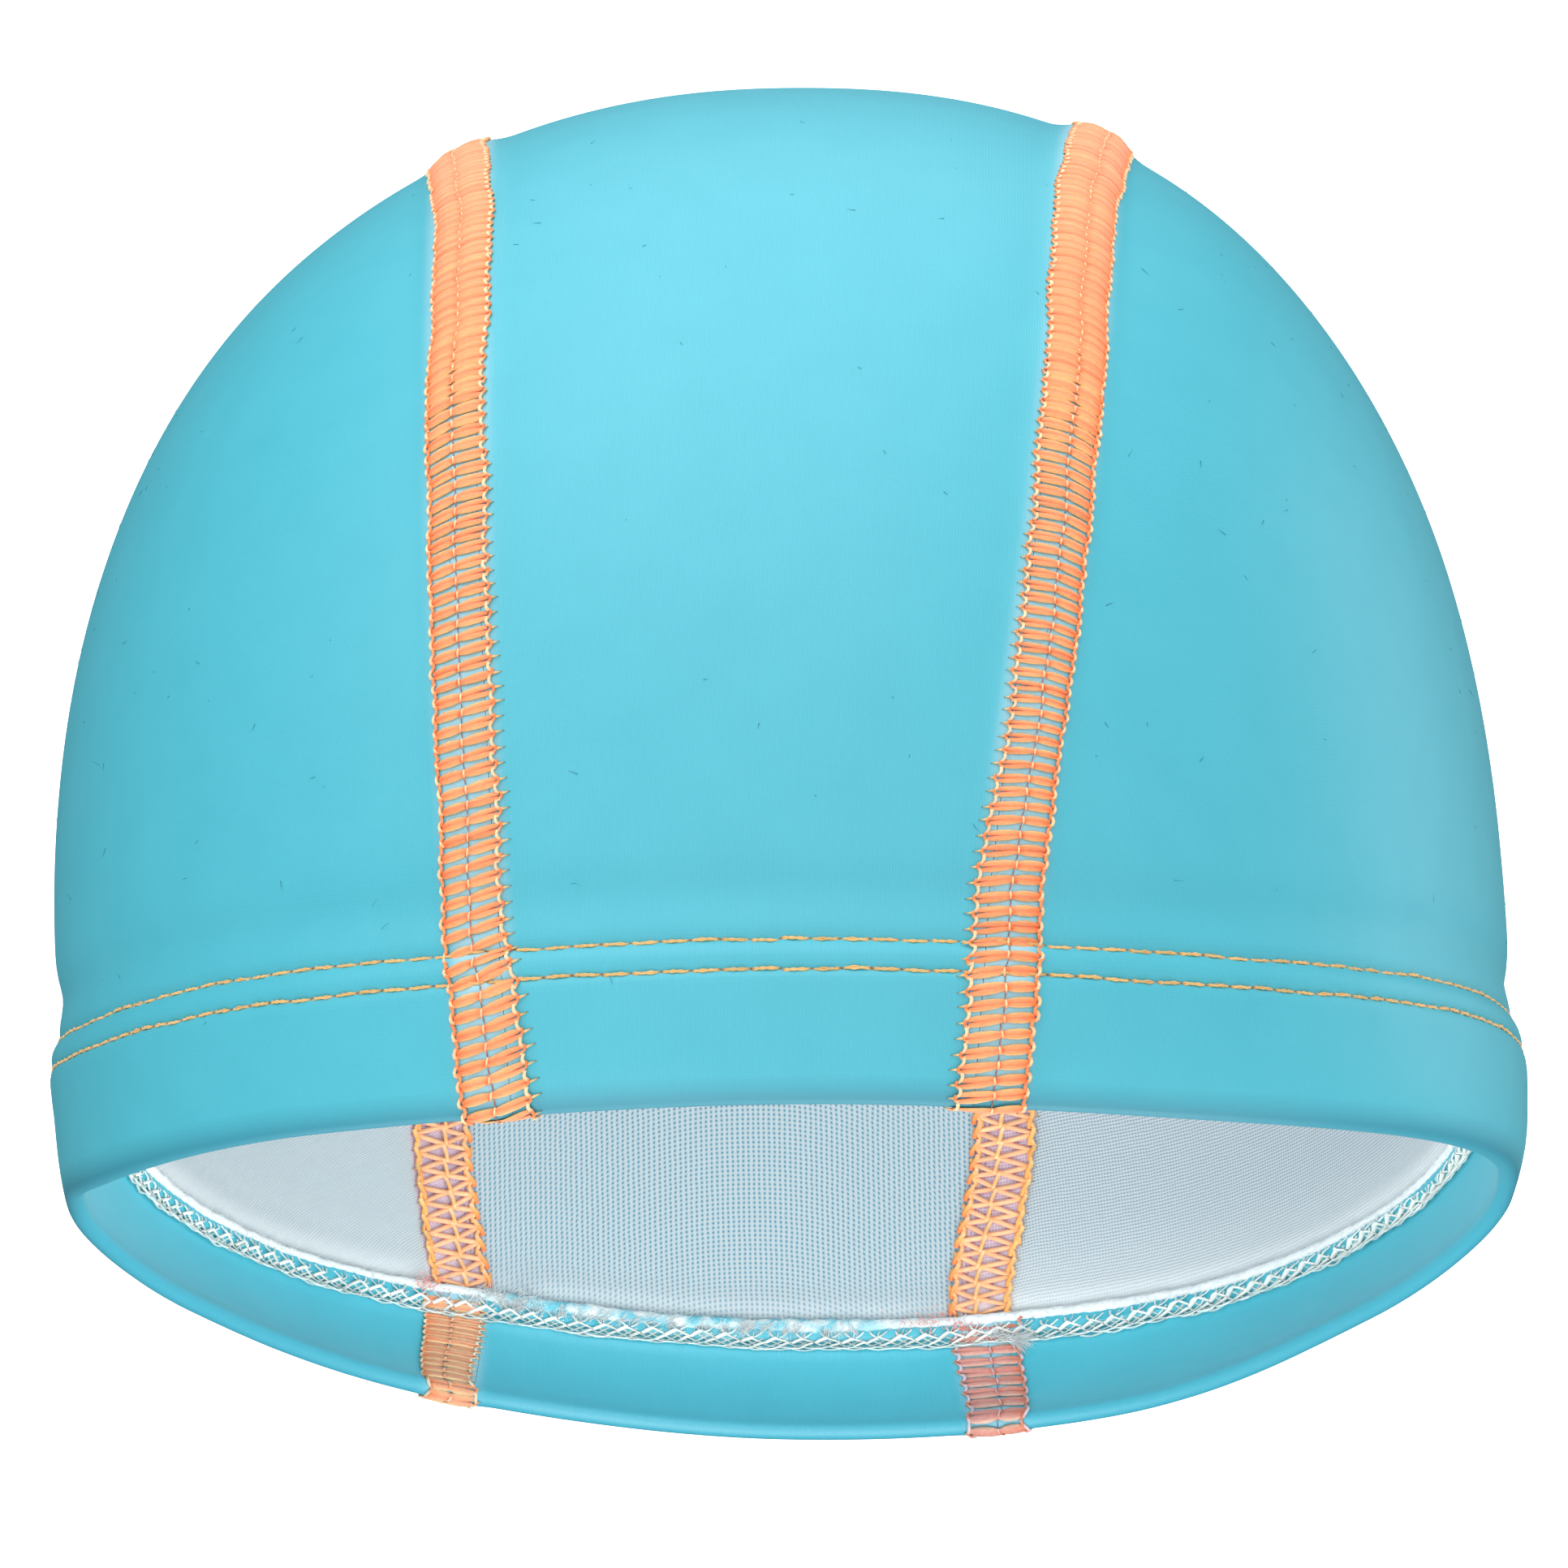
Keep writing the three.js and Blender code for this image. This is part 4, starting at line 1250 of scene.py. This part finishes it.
def make_edge_roll():
    around, lengths = row_line(HEM_HEIGHT)
    columns, rows = 1400, 10
    piece, column, row = flat_grid("raw_edge_roll", columns, rows)
    far = np.arange(columns + 1)[None, :] / columns * lengths[-1]
    turned = np.arange(rows + 1)[:, None] / rows * 2 * math.pi
    angle = np.interp(far, lengths, around)
    worn = worn_at(angle)
    twist = np.sin(far / 0.37 + 3 * np.sin(turned)) * np.sin(turned * 2 + far)
    fat = 0.95 + 0.3 * ripple(far, 3) + 0.14 * twist
    fat = fat + worn * (0.2 + 0.3 * ripple(far * 3, 4))
    level = HEM_HEIGHT + 0.6 + 0.35 * ripple(far, 8) - 0.2 * worn + 1.05 * fat * np.cos(turned)
    lift = -0.05 + 0.12 * ripple(far, 5) - 0.45 * fat * np.sin(turned)
    lift = lift + np.maximum(0, ridge_at(skin_point(angle, hem_level(angle, level))))
    move_points(piece, inside_hem(angle, level, lift)[row, column])
    store(piece, "worn", "FLOAT", (worn + 0 * turned)[row, column])
    pick(piece)
    bpy.ops.object.mode_set(mode="EDIT")
    bpy.ops.mesh.select_all(action="SELECT")
    bpy.ops.mesh.remove_doubles(threshold=1e-6)
    bpy.ops.mesh.normals_make_consistent(inside=False)
    bpy.ops.object.mode_set(mode="OBJECT")
    bpy.ops.object.shade_smooth()
    piece.data.materials.append(FLUFF)
    print(piece.name, triangles(piece), "triangles")
    return piece


# %% Fine fibres
def make_hairs(name, roots, ways, lengths, radius, material):
    """Fine fibres: each is a thin three-sided tube of two steps that bends."""
    count = len(roots)
    rng = np.random.default_rng(11)
    ways = unit(ways)
    side = unit(np.cross(ways, rng.normal(size=(count, 3))))
    other = np.cross(ways, side)
    bend = rng.normal(size=(count, 1)) * 0.35
    rings = []
    for t, thick in ((0, 1), (0.5, 0.8), (1, 0.25)):
        middle = roots + ways * (lengths * t)[:, None] + side * (bend * t * t * lengths[:, None])
        for turn in (0, 2.1, 4.2):
            rings.append(middle + (side * math.cos(turn) + other * math.sin(turn)) * radius * thick)
    edges = [(3 * step + i, 3 * step + (i + 1) % 3) for step in (0, 1) for i in range(3)]
    quads = np.array([(a, b, b + 3, a + 3) for a, b in edges])
    faces = (quads[None] + 9 * np.arange(count)[:, None, None]).reshape(-1, 4)
    piece = mesh_piece(name, np.stack(rings, 1), faces, material)
    print(name, triangles(piece), "triangles")
    return piece


# degrees round, height above the rim, spread and length in mm, how many, and the way it points:
# back along the hem, up it and off it
TUFTS = [(203.6, 20.4, 1.0, 1.0, 90, (0, 0.5, 0.8)), (200.4, 20.6, 1.2, 0.9, 80, (0, 0.6, 0.8)),
         (161.4, 15.8, 0.35, 3.2, 170, (1.0, -0.55, 0.25)), (162.8, 16.8, 0.6, 1.6, 60, (0.6, -0.1, 0.4))]
PINK_TUFTS = [(209, 20.4, 1.3, 0.8, 70, (0, 0.5, 0.6)), (168.3, 20.2, 1.9, 0.8, 80, (0, 0.3, 0.6)),
              (165.6, 18.6, 1, 0.8, 40, (0, 0.3, 0.6))]


def make_tufts(name, tufts, material, seed):
    """Fibres that stand out of a few places in the hem."""
    rng = np.random.default_rng(seed)
    roots = []
    ways = []
    long = []
    for degrees_round, above, spread, length, count, (back, up, off) in tufts:
        angle = np.radians(degrees_round) + rng.normal(size=count) * spread / 95
        level = above + rng.normal(size=count) * spread * 0.7
        root = inside_hem(angle, level, 0.3 + rng.uniform(0, 0.5, count))
        along = inside_hem(angle - 0.01, level, 0.3) - inside_hem(angle, level, 0.3)
        higher = inside_hem(angle, level + 1, 0.3) - inside_hem(angle, level, 0.3)
        way = back * unit(along) + up * higher - off * outward(root)
        roots.append(root)
        ways.append(way + 0.28 * rng.normal(size=root.shape))
        long.append(length * rng.uniform(0.6, 1.05, count))
    roots, ways, long = (np.concatenate(parts) for parts in (roots, ways, long))
    return make_hairs(name, roots, ways, long, 0.055, material)


def make_edge_fibres():
    """Fibres all along the cut edge."""
    rng = np.random.default_rng(7)
    around, lengths = row_line(HEM_HEIGHT)
    far = rng.uniform(0, lengths[-1], 3600)
    angle = np.interp(far, lengths, around)
    level = HEM_HEIGHT + 0.55 + rng.uniform(-0.9, 0.9, len(far)) + 0.2 * ripple(far, 8)
    root = inside_hem(angle, level, 0.1 + rng.uniform(-0.1, 0.1, len(far)))
    way = rng.normal(size=root.shape) - 0.7 * outward(root)
    long = rng.uniform(0.3, 0.9, len(far))
    # where the edge is worn, its fibres hang together in clumps over the net
    clump = rng.integers(0, 24, 1300)
    clump_at = np.linspace(math.radians(174), math.radians(204), 24) + rng.normal(size=24) * 0.006
    clump_lean = rng.uniform(-1.3, 0.5, 24)
    angle = clump_at[clump] + rng.normal(size=len(clump)) * 0.0045
    level = HEM_HEIGHT + rng.uniform(-0.6, 1.2, len(clump))
    hung = inside_hem(angle, level, 0.35 + rng.uniform(-0.1, 0.2, len(clump)))
    along = inside_hem(angle - 0.01, level, 0.3) - inside_hem(angle, level, 0.3)
    down = inside_hem(angle, level - 1, 0.3) - inside_hem(angle, level, 0.3)
    hang = down + clump_lean[clump][:, None] * along + 0.22 * rng.normal(size=down.shape)
    root = np.concatenate([root, hung])
    way = np.concatenate([way, hang])
    long = np.r_[long, rng.uniform(0.8, 1.9, len(clump))]
    return make_hairs("raw_edge_fibres", root, way, long, 0.045, FLUFF)


def make_seam_fringe():
    """Pale fibres at the cut edge of the cloth under each ladder, seen between its bars."""
    rng = np.random.default_rng(5)
    roots = []
    ways = []
    for side, line in LINES.items():
        toward_centre = TOWARD_CENTRE[side]
        along = rng.uniform(0, line["end"], 800)
        offset = toward_centre * (JOIN_SHIFT + rng.uniform(-0.15, 0.25, len(along)))
        root = beside_seam(line, along, offset, 0.03)
        end = along + rng.uniform(-0.3, 0.3, len(along))
        back = beside_seam(line, end, offset - toward_centre * 0.5, 0.06)
        roots.append(root)
        ways.append(back - root)
    roots, ways = np.concatenate(roots), np.concatenate(ways)
    material = plain_material("fringe", (200, 208, 224), 0.95)[0]
    return make_hairs("seam_fringe", roots, ways, rng.uniform(0.25, 0.7, len(roots)), 0.04, material)


LINT_COUNT = 330


def make_lint():
    """Specks of lint that lie on the cloth outside."""
    rng = np.random.default_rng(21)
    around = rng.uniform(-math.pi, math.pi, LINT_COUNT)
    height = 18 + 102 * rng.uniform(0, 1, LINT_COUNT) ** 0.8
    p = skin_point(around, height)
    roots = lifted(p, 0.03 + ridge_at(p))
    out = outward(roots)
    ways = np.cross(out, rng.normal(size=roots.shape))
    material = plain_material("lint", (28, 108, 132), 0.9)[0]
    return make_hairs("lint", roots, ways, rng.uniform(0.25, 1.3, LINT_COUNT), 0.03, material)


LINT = make_lint()
EDGE_ROLL = make_edge_roll()
EDGE_FIBRES = make_edge_fibres()
WHITE_TUFTS = make_tufts("white_tufts", TUFTS, FLUFF, 17)
PINK_FLUFF = plain_material("pink_fluff", (255, 176, 166), 0.95)[0]
PINK_TRACES = make_tufts("pink_tufts", PINK_TUFTS, PINK_FLUFF, 19)
SEAM_FRINGE = make_seam_fringe()

# %% [markdown]
# The stage is a white floor that turns up into a backdrop, so that there is no horizon behind the cap.
# Its light comes from the white room all round and from soft lamps above and in front. Three small lamps
# in and under the opening stand for the light that a white floor throws back into a cap.

# %% Stage and lights
def make_sweep():
    clear_selection()
    bpy.ops.mesh.primitive_grid_add(x_subdivisions=1, y_subdivisions=24, size=1)
    sweep = bpy.context.object
    sweep.name = "studio_sweep"
    points = []
    for vertex in sweep.data.vertices:
        x, t = vertex.co.x * 16, vertex.co.y + 0.5
        run, rise = 16 * t - 8, 0
        if t >= 0.5:
            angle = min((t - 0.5) / 0.25, 1) * math.pi / 2
            run, rise = math.sin(angle), 1 - math.cos(angle) + max(0, t - 0.75) * 16
        points.append((x, run + 2.4, rise - 0.16))
    sweep.data.vertices.foreach_set("co", np.array(points).ravel())
    material, _, shader = plain_material("sweep_white", (255, 255, 255), 0.9)
    shader.inputs["Base Color"].default_value = (0.9, 0.9, 0.9, 1)
    shader.inputs["Emission Color"].default_value = (1, 1, 1, 1)
    shader.inputs["Emission Strength"].default_value = 1
    shader.inputs["Specular IOR Level"].default_value = 0
    sweep.data.materials.append(material)
    bpy.ops.object.shade_smooth()
    sweep.visible_diffuse = False
    sweep.visible_glossy = False
    sweep.visible_shadow = False


def soft_light(name, place, aim, size, power):
    data = bpy.data.lights.new(name, "AREA")
    data.shape = "RECTANGLE"
    data.size, data.size_y = size
    data.energy = power
    light = bpy.data.objects.new(name, data)
    bpy.context.scene.collection.objects.link(light)
    light.location = place
    way = np.array(aim) - np.array(place)
    light.rotation_euler = (math.atan2(math.hypot(way[0], way[1]), -way[2]), 0, math.atan2(-way[0], way[1]))


make_sweep()
soft_light("overhead", (0, -0.4, 1.15), (0, -0.4, 0), (1.2, 3.0), 11)
soft_light("overhead_left", (-0.75, -0.5, 0.95), (0, 0, 0.03), (0.8, 1.6), 3)
soft_light("front", (0, -2.4, 0.0), (0, 0, 0.02), (4.4, 2.0), 10)
soft_light("right_edge", (1.6, 1.0, 0.3), (0, 0, 0.03), (0.5, 1.4), 4)
soft_light("inside_fill", (0.03, -0.11, -0.095), (-0.04, 0.09, -0.02), (0.3, 0.1), 0.13)
soft_light("inside_low", (0, -0.02, -0.13), (0, 0.07, 0), (0.24, 0.12), 0.16)
soft_light("inside_top", (0.035, -0.03, 0.05), (-0.04, 0.065, -0.03), (0.1, 0.05), 0.045)
world = bpy.data.worlds.new("soft_room")
bpy.context.scene.world = world
world.use_nodes = True
world.cycles_visibility.glossy = False
world.node_tree.nodes["Background"].inputs["Color"].default_value = (1, 1, 1, 1)
world.node_tree.nodes["Background"].inputs["Strength"].default_value = 0.92
bpy.context.scene.view_settings.view_transform = "Standard"
bpy.context.scene.view_settings.look = "None"

# %% [markdown]
# Last, every piece is hung on the root, and the parts of the model that it stands for are hidden.

# %% Hang the pieces on the root
finished = []


def stand_for(piece, nodes):
    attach(piece, "root")
    if nodes:
        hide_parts(*nodes)
    finished.append(piece)


for node, piece in CLOTHS.items():
    stand_for(piece, [node])
for side in ("left", "right"):
    stand_for(LADDERS[side], [side + "_seam_cover"])
    stand_for(INNER_NETS[side], [side + "_seam_inside"])
for piece in HEM_ROWS:
    stand_for(piece, [])
for piece in (LOOPER_NET, EDGE_ROLL, EDGE_FIBRES, WHITE_TUFTS, PINK_TRACES, SEAM_FRINGE, LINT):
    stand_for(piece, [])
print("triangles in all", sum(triangles(piece) for piece in finished))
